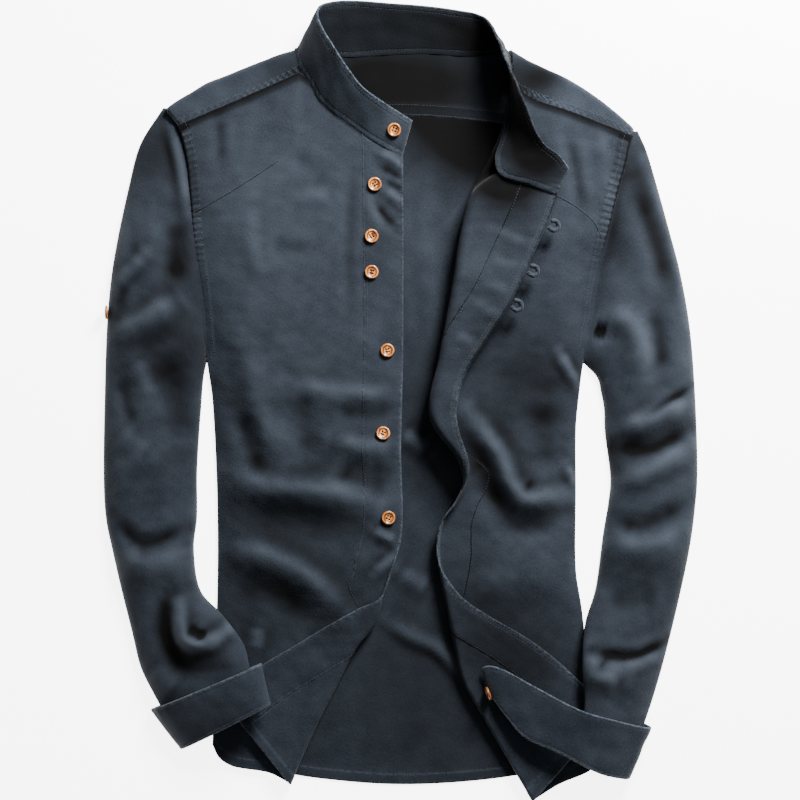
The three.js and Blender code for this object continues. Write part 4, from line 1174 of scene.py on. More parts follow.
def collar_band():
    """Stand collar, from its right end round the back to its left end, foot to top edge."""
    ats = np.linspace(0, len(COLLAR["foot_x"]) - 1, 280)
    foot = edge_line(COLLAR, "foot", ats)
    top = edge_line(COLLAR, "top", ats)
    high = np.linalg.norm(top - foot, axis=-1)
    foot = foot - (top - foot) / high[:, None] * 3
    high = high + 3
    near = marks(0, 8, 1.2, (5.2,), (True, False))
    far = marks(0, 9, 1.2, (2.6, 6), (True, False))
    where = spread(high, near, far, 10)
    share = (where / high[:, None])[..., None]
    middle = foot[:, None] * (1 - share) + top[:, None] * share
    down = lengths(middle, 0)
    from_top = high[:, None] - where
    thick = BAND - grooves(from_top, (2.6, 6), 0.5) - grooves(where, (5.2,), 0.5)
    bowed = 0.6 * np.sin(3.14 * share[..., 0])
    relief = puckers(down, from_top - 4, 2, 4, 9, 0.22) + puckers(down, where - 3, 5, 4, 8, 0.25)
    relief = relief + bowed + 0.3 * drift(down, where, 30, 6)
    wear_and_painted_light = 3 * ridge(from_top, 1.6) + 0.5 * ridge(from_top - 4.2, 0.8) + 0.5 * ridge(where - 3.8, 0.8)
    # Painted shading of the collar: broad patches of painted shadow inside the neck and on the left
    # end, and of painted light on the right end's outer face.
    painted_shading = paint_light_and_shade((), middle[..., 0], middle[..., 1], COLLAR_PAINTED_SHADING)
    return Cloth(middle, thick, relief, wear_and_painted_light, painted_shading=painted_shading)


def tube_form(above, below, squareness):
    """Shares across a flattened tube round its upper and lower walls, and its arch there."""
    s = np.linspace(0, 1, above)
    upper = (1 - np.cos(math.pi * s)) / 2
    lower = np.linspace(1, 0, below)[1:-1]
    arch = np.sqrt(np.clip(1 - np.abs(2 * upper - 1) ** squareness, 0, 1))
    share = np.concatenate([upper, lower])[None, :]
    return share, np.concatenate([arch, np.zeros(len(lower))])[None, :]


def sleeve_tube(rows, side, fold_rows, creases, outward, seed):
    """Sleeve as a tube: its first ring follows the armhole, the last goes into the cuff."""
    last = len(rows["out_x"]) - 1
    ats = np.linspace(0, last, 250)[:, None]
    t, arch = tube_form(60, 24, 2.6)
    column = {name: station(rows, name, ats) for name in rows}
    x = mix(column["out_x"], column["in_x"], t)
    y = mix(column["out_y"], column["in_y"], t)
    bend = 1 - ease(ats, 0, 4.5)
    hole_y = mix(rows["out_y"][0], rows["in_y"][0], t)
    chord = mix(rows["out_x"][0], rows["in_x"][0], t)
    x = x + (read(side, "y", "x", hole_y) + outward - chord) * bend
    crease = folds(fold_rows, x, y) * ease(ats, 0.5, 3)
    crease = crease + (folds(creases, x, y) + wrinkle(x + 400, y)) * ease(ats, 0, 0.8)
    z = column["base"] + column["tilt"] * t + column["high"] * arch
    z = z + crease * arch
    middle = stack(x, y, z)
    tucked = []
    for inward in (6, 5.8, 5.2, 3.5, 1.6):
        ring = middle[0].copy()
        ring[:, 0] -= math.copysign(inward, outward)
        ring[:, 2] = np.maximum(ring[:, 2] - 0.32 * inward, 0.6)
        tucked.append(ring)
    middle = np.concatenate([tucked, middle])
    down = lengths(middle, 0)
    relief = puckers(lengths(middle, 1), down - 10, seed, 5, 8, 0.2)
    # Painted shading of the sleeve: painted shade in the hollows of its folds and creases, painted
    # highlight on their crests, and broad patches of painted light and shade.
    painted_shading = paint_light_and_shade(fold_rows + creases, middle[..., 0], middle[..., 1], SLEEVE_PAINTED_SHADING)
    return Cloth(middle, CLOTH, relief, 0, closed=True, painted_shading=painted_shading)


def right_cuff_band():
    """Right cuff: a closed band round the sleeve's end, free edge first."""
    deep = 30.0
    where = marks(0, deep, 1.6, (2.8, 27.2))
    ats = (where / deep * 2)[:, None]
    t, arch = tube_form(72, 40, 3)
    column = {name: station(RIGHT_CUFF, name, ats) for name in RIGHT_CUFF}
    x = mix(column["out_x"], column["in_x"], t)
    y = mix(column["out_y"], column["in_y"], t)
    z = BAND / 2 + 24 * t + column["high"] * arch
    middle = stack(x, y, z)
    from_edge = where[:, None]
    round_it = lengths(middle, 1)
    thick = BAND - grooves(from_edge, (2.8, 27.2), 0.5) + 0 * x
    relief = puckers(round_it, from_edge - 3, 1, 4, 9, 0.25) + 0.25 * drift(x, y, 26, 4) * arch
    return Cloth(middle, thick, relief, 0.5 * ridge(from_edge, 2) + 0 * x, closed=True)


def left_cuff_band():
    """Left cuff: an open band round the sleeve's end to a free end that curls."""
    ats = np.linspace(0, len(LEFT_CUFF["top_x"]) - 1, 150)
    top = edge_line(LEFT_CUFF, "top", ats)
    low = edge_line(LEFT_CUFF, "low", ats)
    wide = np.linalg.norm(low - top, axis=-1)
    near = marks(0, 7, 1.2, (2.8,), (True, False))
    where = spread(wide, near, near, 16)
    share = (where / wide[:, None])[..., None]
    middle = top[:, None] * (1 - share) + low[:, None] * share
    down = lengths(middle, 0)
    from_end = down[-1:] - down
    edge = np.minimum(where, wide[:, None] - where)
    thick = BAND - grooves(np.minimum(edge, from_end), (2.8,), 0.5)
    relief = puckers(down, edge - 3, 2, 4, 9, 0.25) + 0.3 * drift(down, where, 34, 5)
    return Cloth(middle, thick, relief, 0.5 * ridge(edge, 2))


def stitch_line(points, up, sizes):
    """Turned and placed frames of the stitches along a line of points."""
    pitch = sizes.stitch_pitch / MM
    total = run(points)[-1]
    count = int(total / pitch)
    if count < 1:
        return []
    starts = (np.arange(count) + 0.5) * total / count
    half = 0.5 * sizes.stitch_length / MM
    middle = along_line(points, starts)
    ahead = along_line(points, np.minimum(starts + half, total))
    behind = along_line(points, np.maximum(starts - half, 0))
    along = ahead - behind
    facing = along_line_values(points, up, starts)
    placed = []
    for spot, way, out in zip(middle, along, facing):
        x = Vector(way).normalized()
        z = Vector(out).normalized()
        y = z.cross(x).normalized()
        z = x.cross(y)
        spot = Vector((spot[0] - CENTRE_X, spot[1] - CENTRE_Y, spot[2])) * MM
        turn = Matrix((x, y, z)).transposed().to_4x4()
        placed.append(Matrix.Translation(spot) @ turn)
    return placed


def along_line_values(points, values, where):
    """Values that belong to a line's points, at lengths from its start."""
    lengths_on = run(points)
    return np.stack([np.interp(where, lengths_on, column) for column in values.T], axis=-1)


def sew(name, lines, sizes):
    """Piece of all the stitches along lines of (points, directions up)."""
    form = bmesh.new()
    bmesh.ops.create_icosphere(form, subdivisions=1, radius=1)
    half = Vector((sizes.stitch_length / 2, sizes.thread_width / 2, sizes.thread_width / 2))
    bmesh.ops.scale(form, vec=half, verts=form.verts)
    stitch = bpy.data.meshes.new("stitch")
    form.to_mesh(stitch)
    form.clear()
    for points, up in lines:
        for place in stitch_line(points, up, sizes):
            one = stitch.copy()
            one.transform(place)
            form.from_mesh(one)
            bpy.data.meshes.remove(one)
    for face in form.faces:
        face.smooth = True
    mesh = bpy.data.meshes.new(name)
    form.to_mesh(mesh)
    form.free()
    bpy.data.meshes.remove(stitch)
    return put(name, mesh, material("thread"))


def nearest(values, wanted):
    """Number of the value closest to the wanted one."""
    return int(np.argmin(np.abs(np.asarray(values) - wanted)))


def stretched_noise(tree, coords, output, scale, detail, size):
    """Noise stretched along the axes of a coordinate."""
    mapping = tree.nodes.new("ShaderNodeMapping")
    mapping.inputs["Scale"].default_value = scale
    tree.links.new(coords.outputs[output], mapping.inputs["Vector"])
    noise = tree.nodes.new("ShaderNodeTexNoise")
    noise.inputs["Scale"].default_value = size
    noise.inputs["Detail"].default_value = detail
    noise.inputs["Roughness"].default_value = 0.6
    tree.links.new(mapping.outputs["Vector"], noise.inputs["Vector"])
    return noise.outputs["Fac"]


def reckon(tree, operation, *values):
    """Output of a math node; each value is a number or another node's output."""
    made = tree.nodes.new("ShaderNodeMath")
    made.operation = operation
    for socket, value in zip(made.inputs, values):
        if isinstance(value, bpy.types.NodeSocket):
            tree.links.new(value, socket)
        else:
            socket.default_value = value
    return made.outputs["Value"]


def painted(tree, label):
    """Value that the mesh carries under a name."""
    made = tree.nodes.new("ShaderNodeAttribute")
    made.attribute_name = label
    return made.outputs["Fac"]


def roughen(tree, shader, height, strength, distance):
    """Bump from a height, for threads and grain too fine to model."""
    bump = tree.nodes.new("ShaderNodeBump")
    bump.inputs["Strength"].default_value = strength
    bump.inputs["Distance"].default_value = distance
    tree.links.new(height, bump.inputs["Height"])
    tree.links.new(bump.outputs["Normal"], shader.inputs["Normal"])


def blend_colours(tree, kind, factor, first, second):
    """Two colours mixed by a number or by another node's output."""
    mixer = tree.nodes.new("ShaderNodeMix")
    mixer.data_type = "RGBA"
    mixer.blend_type = kind
    for socket, value in ((0, factor), (6, first), (7, second)):
        if isinstance(value, bpy.types.NodeSocket):
            tree.links.new(value, mixer.inputs[socket])
        else:
            mixer.inputs[socket].default_value = value
    return mixer.outputs[2]


def shade(value, low, high, tree):
    """A value brought from low..high to 0..1."""
    ranged = tree.nodes.new("ShaderNodeMapRange")
    ranged.inputs["From Min"].default_value = low
    ranged.inputs["From Max"].default_value = high
    tree.links.new(value, ranged.inputs["Value"])
    return ranged.outputs["Result"]


def darker(colour, share):
    """Opaque colour with a share of another's strength."""
    return (*(share * part for part in colour[:3]), 1)


# Fixed finishes that no property changes. The first is the near-black colour of painted shade on the
# cloth; the seam shadow colour is painted shadow along the right chest's seam line.
PAINTED_SHADE_CLOTH = (0.002, 0.002, 0.0021, 1)
SEAM_SHADOW = (0.002, 0.002, 0.003, 1)
BUTTON_THREAD = (0.012, 0.009, 0.008, 1)
CLOTH_GLOSS = 0.12
FLOOR_GLOW = 6.0


def new_material(name, roughness, sheen):
    """Node tree and shader of a new dull material."""
    made = bpy.data.materials.new(name)
    made.use_nodes = True
    tree = made.node_tree
    shader = tree.nodes["Principled BSDF"]
    shader.inputs["Roughness"].default_value = roughness
    shader.inputs["Sheen Weight"].default_value = sheen
    shader.inputs["Sheen Roughness"].default_value = 0.5
    shader.inputs["Specular IOR Level"].default_value = CLOTH_GLOSS
    return tree, shader


def cotton(name, dark, light, worn_and_painted_light):
    """Washed cotton cloth: threads of two shades, slubs, soft patches and paler rubbed edges, with
    painted shade (near black, less glossy) and painted highlight (paler) from the painted shading
    attribute.
    """
    tree, shader = new_material(name, 0.86, 0.03)
    coords = tree.nodes.new("ShaderNodeTexCoord")
    warp = stretched_noise(tree, coords, "UV", (1, 0.3, 1), 2, 1500)
    weft = stretched_noise(tree, coords, "UV", (0.3, 1, 1), 2, 1500)
    patches = stretched_noise(tree, coords, "Object", (1, 1, 1), 4, 38)
    flecks = stretched_noise(tree, coords, "Object", (1, 1, 1), 2, 420)
    threads = reckon(tree, "ADD", warp, weft)
    colour = blend_colours(tree, "MIX", shade(threads, 0.78, 1.22, tree), dark, light)
    colour = blend_colours(tree, "MULTIPLY", 0.35, colour, (0.75, 0.75, 0.75, 1))
    paler = reckon(tree, "MULTIPLY", shade(patches, 0.3, 0.7, tree), 0.16)
    colour = blend_colours(tree, "MIX", paler, colour, worn_and_painted_light)
    # Painted shade: below 0 the colour goes towards near black and the gloss drops.
    painted_shading = painted(tree, "painted_shading")
    deep = shade(painted_shading, 0, -1, tree)
    colour = blend_colours(tree, "MIX", deep, colour, PAINTED_SHADE_CLOTH)
    gloss = tree.nodes.new("ShaderNodeMapRange")
    gloss.inputs["To Min"].default_value = CLOTH_GLOSS
    gloss.inputs["To Max"].default_value = 0.03
    tree.links.new(deep, gloss.inputs["Value"])
    tree.links.new(gloss.outputs["Result"], shader.inputs["Specular IOR Level"])
    # Painted highlight: above 0 the colour goes paler, towards the pale colour of the rubbed edges.
    painted_highlight = reckon(tree, "MULTIPLY", shade(painted_shading, 0, 1, tree), 0.3)
    colour = blend_colours(tree, "MIX", painted_highlight, colour, worn_and_painted_light)
    rubbed = reckon(tree, "MULTIPLY", painted(tree, "wear_and_painted_light"), shade(flecks, 0.36, 0.62, tree))
    colour = blend_colours(tree, "MIX", reckon(tree, "MULTIPLY", rubbed, 0.7), colour, worn_and_painted_light)
    tree.links.new(colour, shader.inputs["Base Color"])
    roughen(tree, shader, reckon(tree, "MULTIPLY_ADD", threads, 0.6, flecks), 0.55, 0.0005)


def sewing_thread(name, colour):
    """Twisted cotton thread."""
    tree, shader = new_material(name, 0.7, 0.1)
    coords = tree.nodes.new("ShaderNodeTexCoord")
    ply = stretched_noise(tree, coords, "Object", (1, 1, 1), 2, 900)
    mixed = blend_colours(tree, "MIX", shade(ply, 0.3, 0.7, tree), darker(colour, 0.62), colour)
    tree.links.new(mixed, shader.inputs["Base Color"])


def turned_wood(name, dark, light):
    """Varnished wood of the buttons, with a burnt rim, and painted shade in the lower part of the
    holes.
    """
    tree, shader = new_material(name, 0.32, 0)
    shader.inputs["Specular IOR Level"].default_value = 0.5
    shader.inputs["Coat Weight"].default_value = 0.5
    shader.inputs["Coat Roughness"].default_value = 0.18
    coords = tree.nodes.new("ShaderNodeTexCoord")
    grain = stretched_noise(tree, coords, "Object", (1, 0.16, 0.4), 5, 420)
    colour = blend_colours(tree, "MIX", shade(grain, 0.32, 0.68, tree), dark, light)
    colour = blend_colours(tree, "MIX", painted(tree, "wear_and_painted_light"), colour, darker(dark, 0.3))
    tree.links.new(colour, shader.inputs["Base Color"])
    roughen(tree, shader, grain, 0.2, 0.0002)


def paper(name, colour):
    """Plain pale paper of the studio floor."""
    tree, shader = new_material(name, 0.9, 0)
    coords = tree.nodes.new("ShaderNodeTexCoord")
    fibre = stretched_noise(tree, coords, "Object", (1, 1, 1), 3, 60)
    tone = shade(fibre, 0, 1, tree)
    mixed = blend_colours(tree, "MIX", tone, darker(colour, 0.97), colour)
    tree.links.new(mixed, shader.inputs["Base Color"])
    shader.inputs["Emission Color"].default_value = colour
    shader.inputs["Emission Strength"].default_value = FLOOR_GLOW


class ShirtSizes(bpy.types.PropertyGroup):
    """Sizes of the shirt's sewing and trimmings."""

    stitch_pitch: bpy.props.FloatProperty(
        name="Stitch pitch",
        description="Distance from one stitch to the next",
        default=0.0029,
        min=0.001,
        unit="LENGTH",
    )
    stitch_length: bpy.props.FloatProperty(
        name="Stitch length",
        description="Length of the thread that shows in one stitch",
        default=0.0023,
        min=0.0005,
        unit="LENGTH",
    )
    thread_width: bpy.props.FloatProperty(
        name="Thread width",
        description="Thickness of the sewing thread",
        default=0.00055,
        min=0.0001,
        unit="LENGTH",
    )
    button_width: bpy.props.FloatProperty(
        name="Button width",
        description="Diameter of a button",
        default=0.0132,
        min=0.005,
        unit="LENGTH",
    )
    button_height: bpy.props.FloatProperty(
        name="Button height",
        description="Height of a button at its rim",
        default=0.0026,
        min=0.001,
        unit="LENGTH",
    )
    cord_width: bpy.props.FloatProperty(
        name="Loop cord width",
        description="Diameter of the cord of the button loops",
        default=0.0044,
        min=0.001,
        unit="LENGTH",
    )


class ShirtColours(bpy.types.PropertyGroup):
    """Colours of the cloth, thread, buttons and floor."""

    cloth_dark: bpy.props.FloatVectorProperty(
        name="Dark threads",
        description="Colour of the darker threads of the cloth",
        default=(0.0045, 0.0064, 0.0098),
        size=3,
        min=0,
        max=1,
        subtype="COLOR",
    )
    cloth_light: bpy.props.FloatVectorProperty(
        name="Light threads",
        description="Colour of the lighter threads of the cloth",
        default=(0.0135, 0.0182, 0.0262),
        size=3,
        min=0,
        max=1,
        subtype="COLOR",
    )
    # Also the colour of the painted highlight on the crests of folds and gathers.
    cloth_worn_and_highlight: bpy.props.FloatVectorProperty(
        name="Worn edges",
        description="Colour of the cloth where edges and seams are rubbed",
        default=(0.055, 0.068, 0.086),
        size=3,
        min=0,
        max=1,
        subtype="COLOR",
    )
    thread: bpy.props.FloatVectorProperty(
        name="Sewing thread",
        description="Colour of the stitches",
        default=(0.022, 0.028, 0.038),
        size=3,
        min=0,
        max=1,
        subtype="COLOR",
    )
    wood_dark: bpy.props.FloatVectorProperty(
        name="Dark wood",
        description="Colour of the dark grain of the buttons",
        default=(0.10, 0.016, 0.003),
        size=3,
        min=0,
        max=1,
        subtype="COLOR",
    )
    wood_light: bpy.props.FloatVectorProperty(
        name="Light wood",
        description="Colour of the light grain of the buttons",
        default=(0.72, 0.27, 0.055),
        size=3,
        min=0,
        max=1,
        subtype="COLOR",
    )
    floor: bpy.props.FloatVectorProperty(
        name="Floor",
        description="Colour of the studio floor",
        default=(0.92, 0.92, 0.92),
        size=3,
        min=0,
        max=1,
        subtype="COLOR",
    )


class StudioSettings(bpy.types.PropertyGroup):
    """Camera and lights."""

    lens: bpy.props.FloatProperty(
        name="Lens",
        description="Focal length of the camera in millimetres",
        default=100,
        min=20,
    )
    view_width: bpy.props.FloatProperty(
        name="View width",
        description="Width of the surface that the camera takes in",
        default=0.760,
        min=0.1,
        unit="LENGTH",
    )
    key_power: bpy.props.FloatProperty(
        name="Key light",
        description="Power of the large soft light beyond the collar",
        default=128,
        min=0,
    )
    fill_power: bpy.props.FloatProperty(
        name="Fill light",
        description="Power of the soft light above the shirt",
        default=9,
        min=0,
    )
    sky: bpy.props.FloatProperty(
        name="Room light",
        description="Strength of the even light of the room",
        default=0.22,
        min=0,
    )


def opaque(colour):
    """Colour with full strength."""
    return (*colour, 1.0)


class SHIRT_OT_materials(bpy.types.Operator):
    """Makes the materials of the cloth, thread, buttons and floor"""

    bl_idname = "shirt.materials"
    bl_label = "Materials"

    def execute(self, context):
        colours = context.scene.shirt_colours
        dark = opaque(colours.cloth_dark)
        light = opaque(colours.cloth_light)
        worn_and_painted_light = opaque(colours.cloth_worn_and_highlight)
        cotton("washed cotton", dark, light, worn_and_painted_light)
        cotton("faced cotton", dark, light, worn_and_painted_light)
        sewing_thread("thread", opaque(colours.thread))
        sewing_thread("loop cord", light)
        sewing_thread("seam shadow", SEAM_SHADOW)
        sewing_thread("button thread", BUTTON_THREAD)
        turned_wood("button wood", opaque(colours.wood_dark), opaque(colours.wood_light))
        paper("studio paper", opaque(colours.floor))
        return {"FINISHED"}


class SHIRT_OT_fronts(bpy.types.Operator):
    """Lays both fronts with their faced strips"""

    bl_idname = "shirt.fronts"
    bl_label = "Fronts"

    def execute(self, context):
        right = front_panel(right_front, 1)
        left = front_panel(left_front, 2)
        lay_cloth("right_front_cloth", right, "washed cotton")
        lay_cloth("left_front_cloth", left, "washed cotton")
        right = front_strip(right_front, (3, 36), 3, 0.3)
        left = front_strip(left_front, (3, 6, 36), 4, 0.8)
        lay_cloth("right_placket_cloth", right, "faced cotton")
        lay_cloth("left_placket_cloth", left, "faced cotton")
        return {"FINISHED"}


class SHIRT_OT_back(bpy.types.Operator):
    """Lays the back panel and the yoke"""

    bl_idname = "shirt.back"
    bl_label = "Back and yoke"

    def execute(self, context):
        lay_cloth("back_cloth", back_panel(), "washed cotton")
        lay_cloth("yoke_cloth", yoke_panel(), "washed cotton")
        return {"FINISHED"}


class SHIRT_OT_collar(bpy.types.Operator):
    """Stands the collar up round the neck"""

    bl_idname = "shirt.collar"
    bl_label = "Collar"

    def execute(self, context):
        collar = collar_band()
        lay_cloth("collar_cloth", collar, "faced cotton")
        return {"FINISHED"}


class SHIRT_OT_sleeves(bpy.types.Operator):
    """Lays both sleeves with their cuffs"""

    bl_idname = "shirt.sleeves"
    bl_label = "Sleeves and cuffs"

    def execute(self, context):
        folds_of_right = (RIGHT_SLEEVE_FOLDS, RIGHT_SLEEVE_CREASES)
        folds_of_left = (LEFT_SLEEVE_FOLDS, LEFT_SLEEVE_CREASES)
        right = sleeve_tube(RIGHT_SLEEVE, RIGHT_SIDE, *folds_of_right, -1.2, 1)
        left = sleeve_tube(LEFT_SLEEVE, LEFT_SIDE, *folds_of_left, 1.2, 2)
        lay_cloth("right_sleeve_cloth", right, "washed cotton")
        lay_cloth("left_sleeve_cloth", left, "washed cotton")
        right = right_cuff_band()
        left = left_cuff_band()
        lay_cloth("right_cuff_cloth", right, "faced cotton")
        lay_cloth("left_cuff_cloth", left, "faced cotton")
        return {"FINISHED"}


BUTTON_PLACES = (
    ("button_1", -24, 204),
    ("button_2", -27, 155),
    ("button_3", -27, 121),
    ("button_4", -12, 47),
    ("button_5", -16, -32),
    ("button_6", -11, -111),
)
SEWN_BUTTONS = (
    ("collar_button", (-5.5, 255, 15.5), (0.02, -0.2, 1)),
    ("right_sleeve_button", (-276.3, 83, 8), (-1, 0, 0.1)),
    ("left_cuff_button", (84.55, -275.9, 18.4), (-0.95, -0.3, 0.12)),
)


def button_mesh(sizes):
    """Dished button with a raised rim and four holes."""
    radius = sizes.button_width / 2
    high = sizes.button_height
    profile = (
        (0, 0),
        (0.78, 0),
        (0.93, 0.12),
        (1.0, 0.36),
        (1.0, 0.62),
        (0.96, 0.86),
        (0.88, 1.0),
        (0.79, 0.99),
        (0.70, 0.86),
        (0.62, 0.68),
        (0.52, 0.6),
        (0.3, 0.57),
        (0, 0.56),
    )
    form = bmesh.new()
    line = [form.verts.new((radius * out, 0, high * up)) for out, up in profile]
    edges = [form.edges.new(pair) for pair in zip(line, line[1:])]
    bmesh.ops.spin(
        form,
        geom=line + edges,
        axis=(0, 0, 1),
        cent=(0, 0, 0),
        angle=2 * math.pi,
        steps=48,
        use_merge=True,
    )
    bmesh.ops.remove_doubles(form, verts=form.verts, dist=1e-6)
    bmesh.ops.recalc_face_normals(form, faces=form.faces)
    if form.calc_volume(signed=True) < 0:
        bmesh.ops.reverse_faces(form, faces=form.faces)
    disc = bpy.data.meshes.new("button disc")
    form.to_mesh(disc)
    form.clear()
    for k in range(4):
        turn = math.radians(45 + 90 * k)
        middle = Matrix.Translation((0.27 * radius * math.cos(turn), 0.27 * radius * math.sin(turn), 0))
        bmesh.ops.create_cone(
            form,
            cap_ends=True,
            segments=12,
            radius1=0.13 * radius,
            radius2=0.13 * radius,
            depth=3 * high,
            matrix=middle,
        )
    drill = bpy.data.meshes.new("button holes")
    form.to_mesh(drill)
    form.free()
    body = bpy.data.objects.new("button disc", disc)
    tool = bpy.data.objects.new("button holes", drill)
    for made in (body, tool):
        bpy.context.scene.collection.objects.link(made)
    cut = body.modifiers.new("Holes", "BOOLEAN")
    cut.object = tool
    cut.operation = "DIFFERENCE"
    cut.solver = "EXACT"
    bpy.context.view_layer.update()
    drilled = bpy.data.meshes.new_from_object(body.evaluated_get(bpy.context.evaluated_depsgraph_get()))
    bpy.data.objects.remove(body)
    bpy.data.objects.remove(tool)
    for face in drilled.polygons:
        face.use_smooth = abs(face.normal.z) > 0.02 or face.area > 1e-7
    places = np.array([corner.co for corner in drilled.vertices])
    out = np.hypot(places[:, 0], places[:, 1]) / radius
    rim = ridge(out - 0.64, 0.09) + 0.8 * ridge(out - 1, 0.06)
    # Painted shade: the lower part of the holes' walls and the underside round them are darkened along
    # with the burnt rim.
    rim = np.minimum(rim + ridge(out - 0.27, 0.14) * (places[:, 2] < 0.5 * high), 1)
    worn_and_painted_light = drilled.attributes.new("wear_and_painted_light", "FLOAT", "POINT")
    worn_and_painted_light.data.foreach_set("value", rim.astype(np.float32))
    return drilled


def front_seat(x, y):
    """Place and direction of a button on the right front's cloth."""
    reach = 6
    spots = np.radians(np.linspace(0, 360, 17))
    slope_x = (right_lay.height(x + reach, y) - right_lay.height(x - reach, y)) / (2 * reach)
    slope_y = (right_lay.height(x, y + reach) - right_lay.height(x, y - reach)) / (2 * reach)
    facing = Vector((-float(slope_x), -float(slope_y), 1)).normalized()
    middle = float(right_lay.height(x, y))
    dx = 6.6 * np.cos(spots)
    dy = 6.6 * np.sin(spots)
    proud = float(np.max(right_lay.height(x + dx, y + dy) - middle - slope_x * dx - slope_y * dy))
    lift = FACED / 2 + max(proud, 0) * facing.z
    return Vector((x, y, middle)) + facing * lift, facing


class SHIRT_OT_buttons(bpy.types.Operator):
    """Sews on the buttons with their thread"""

    bl_idname = "shirt.buttons"
    bl_label = "Buttons"

    def execute(self, context):
        sizes = context.scene.shirt_sizes
        disc = button_mesh(sizes)
        seats = [(name, *front_seat(x, y)) for name, x, y in BUTTON_PLACES]
        seats += [(name, Vector(at), Vector(way).normalized()) for name, at, way in SEWN_BUTTONS]
        for number, (name, at, facing) in enumerate(seats):
            turn = facing.to_track_quat("Z", "Y").to_matrix().to_4x4()
            seat = (at - Vector((CENTRE_X, CENTRE_Y, 0))) * MM + facing * 0.00035
            place = Matrix.Translation(seat) @ turn @ Matrix.Rotation(0.7 * number, 4, "Z")
            mesh = disc.copy()
            mesh.name = name
            mesh.transform(place)
            piece = put(f"{name}_turned", mesh, material("button wood"))
            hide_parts(name)
            self.sew_on(f"{name}_thread", place, sizes)
        bpy.data.meshes.remove(disc)
        return {"FINISHED"}

    def sew_on(self, name, place, sizes):
        """Two bars of thread across the holes, with a short shank under the button."""
        form = bmesh.new()
        off = 0.19 * sizes.button_width / 2
        for side in (-1, 1):
            lift = Matrix.Translation((0, side * off, 0.66 * sizes.button_height))
            lie = Matrix.Rotation(math.radians(90), 4, "Y")
            bmesh.ops.create_cone(
                form,
                cap_ends=True,
                segments=10,
                radius1=0.0003,
                radius2=0.0003,
                depth=2.1 * off,
                matrix=lift @ lie,
            )
        bmesh.ops.create_cone(
            form,
            cap_ends=True,
            segments=12,
            radius1=0.0012,
            radius2=0.0009,
            depth=0.001,
            matrix=Matrix.Translation((0, 0, -0.0003)),
        )
        for face in form.faces:
            face.smooth = len(face.verts) == 4
        bmesh.ops.transform(form, matrix=place, verts=form.verts)
        mesh = bpy.data.meshes.new(name)
        form.to_mesh(mesh)
        form.free()
        put(name, mesh, material("button thread"))


LOOP_PLACES = (("loop_1", 26), ("loop_2", 72), ("loop_3", 107))
LOOP_SHAPE = (
    (2.15, -3, 0.3),
    (5, -4.3, 0.8),
    (8.6, -4, 1.8),
    (10.9, 0, 2.6),
    (8.6, 4, 1.8),
    (5, 4.3, 0.8),
    (2.15, 3, 0.3),
)


def smooth_line(points, count):
    """Evenly spaced points of a smooth curve through a few."""
    points = np.array(points, float)
    knots = run(points)
    where = np.linspace(0, knots[-1], count)
    rows = {"at": knots, "x": points[:, 0], "y": points[:, 1], "z": points[:, 2]}
    return np.stack([read(rows, "at", name, where) for name in "xyz"], axis=-1)


def cord_grid(path, radius, sides):
    """Grid of a round cord of three twisted plies, its ends drawn to a point."""
    way = np.gradient(path, axis=0)
    way /= np.linalg.norm(way, axis=1, keepdims=True)
    side = np.cross(way, (0, 0, 1))
    side /= np.linalg.norm(side, axis=1, keepdims=True)
    up = np.cross(side, way)
    along = run(path)
    angle = np.linspace(0, 2 * math.pi, sides + 1)
    twist = angle[None, :] - along[:, None] / radius * 0.9
    size = radius * (0.86 + 0.14 * np.abs(np.cos(1.5 * twist)))
    size[0] = 0
    size[-1] = 0
    ring = side[:, None] * np.cos(angle)[None, :, None] + up[:, None] * np.sin(angle)[None, :, None]
    return path[:, None] + ring * size[..., None], along


def cord_piece(name, points, run_on, girth, finish):
    """Piece of a cord's grid, with its length and girth as a UV map."""
    flat = stack(np.linspace(0, girth, points.shape[1])[None, :], run_on[:, None], 0)[..., :2]
    mesh = grid_mesh(name, points, flat, {"wear_and_painted_light": np.zeros(points.shape[:2])})
    return put(name, mesh, material(finish))


class SHIRT_OT_loops(bpy.types.Operator):
    """Makes the cord loops along the edge of the left front"""

    bl_idname = "shirt.loops"
    bl_label = "Button loops"

    def execute(self, context):
        radius = context.scene.shirt_sizes.cord_width / 2 / MM
        for name, along in LOOP_PLACES:
            here = np.array([along, along + 4.0])
            beyond = left_front.sizes(here)["beyond"][:, None]
            edge, ahead = left_front.place(here, beyond)[:, 0]
            down = (ahead - edge) * (1, 1, 0)
            down /= np.linalg.norm(down)
            out = np.array([-down[1], down[0], 0])
            out = out if out[0] > 0 else -out
            spots = [edge + out * a + down * b - np.array([0, 0, c]) for a, b, c in LOOP_SHAPE]
            points, run_on = cord_grid(smooth_line(spots, 60), radius, 18)
            points = np.concatenate([points[:1], points, points[-1:]])
            run_on = np.concatenate([run_on[:1], run_on, run_on[-1:]])
            piece = cord_piece(f"{name}_cord", points, run_on, 10, "loop cord")
            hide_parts(name)
        return {"FINISHED"}


# Thin cords along the chest darts over the plan, a dark one of painted shadow on the right and a pale
# one of painted highlight on the left, and the buttonholes of the left front's facing.
PAINTED_DART_LINES = (
    ("right_front", "seam shadow", ((-196, 176), (-155, 199), (-114, 226))),
    ("left_front", "loop cord", ((148, 193), (167, 182), (184, 167), (191, 152))),
)
BUTTONHOLES = ((58, 87), (53, 43))


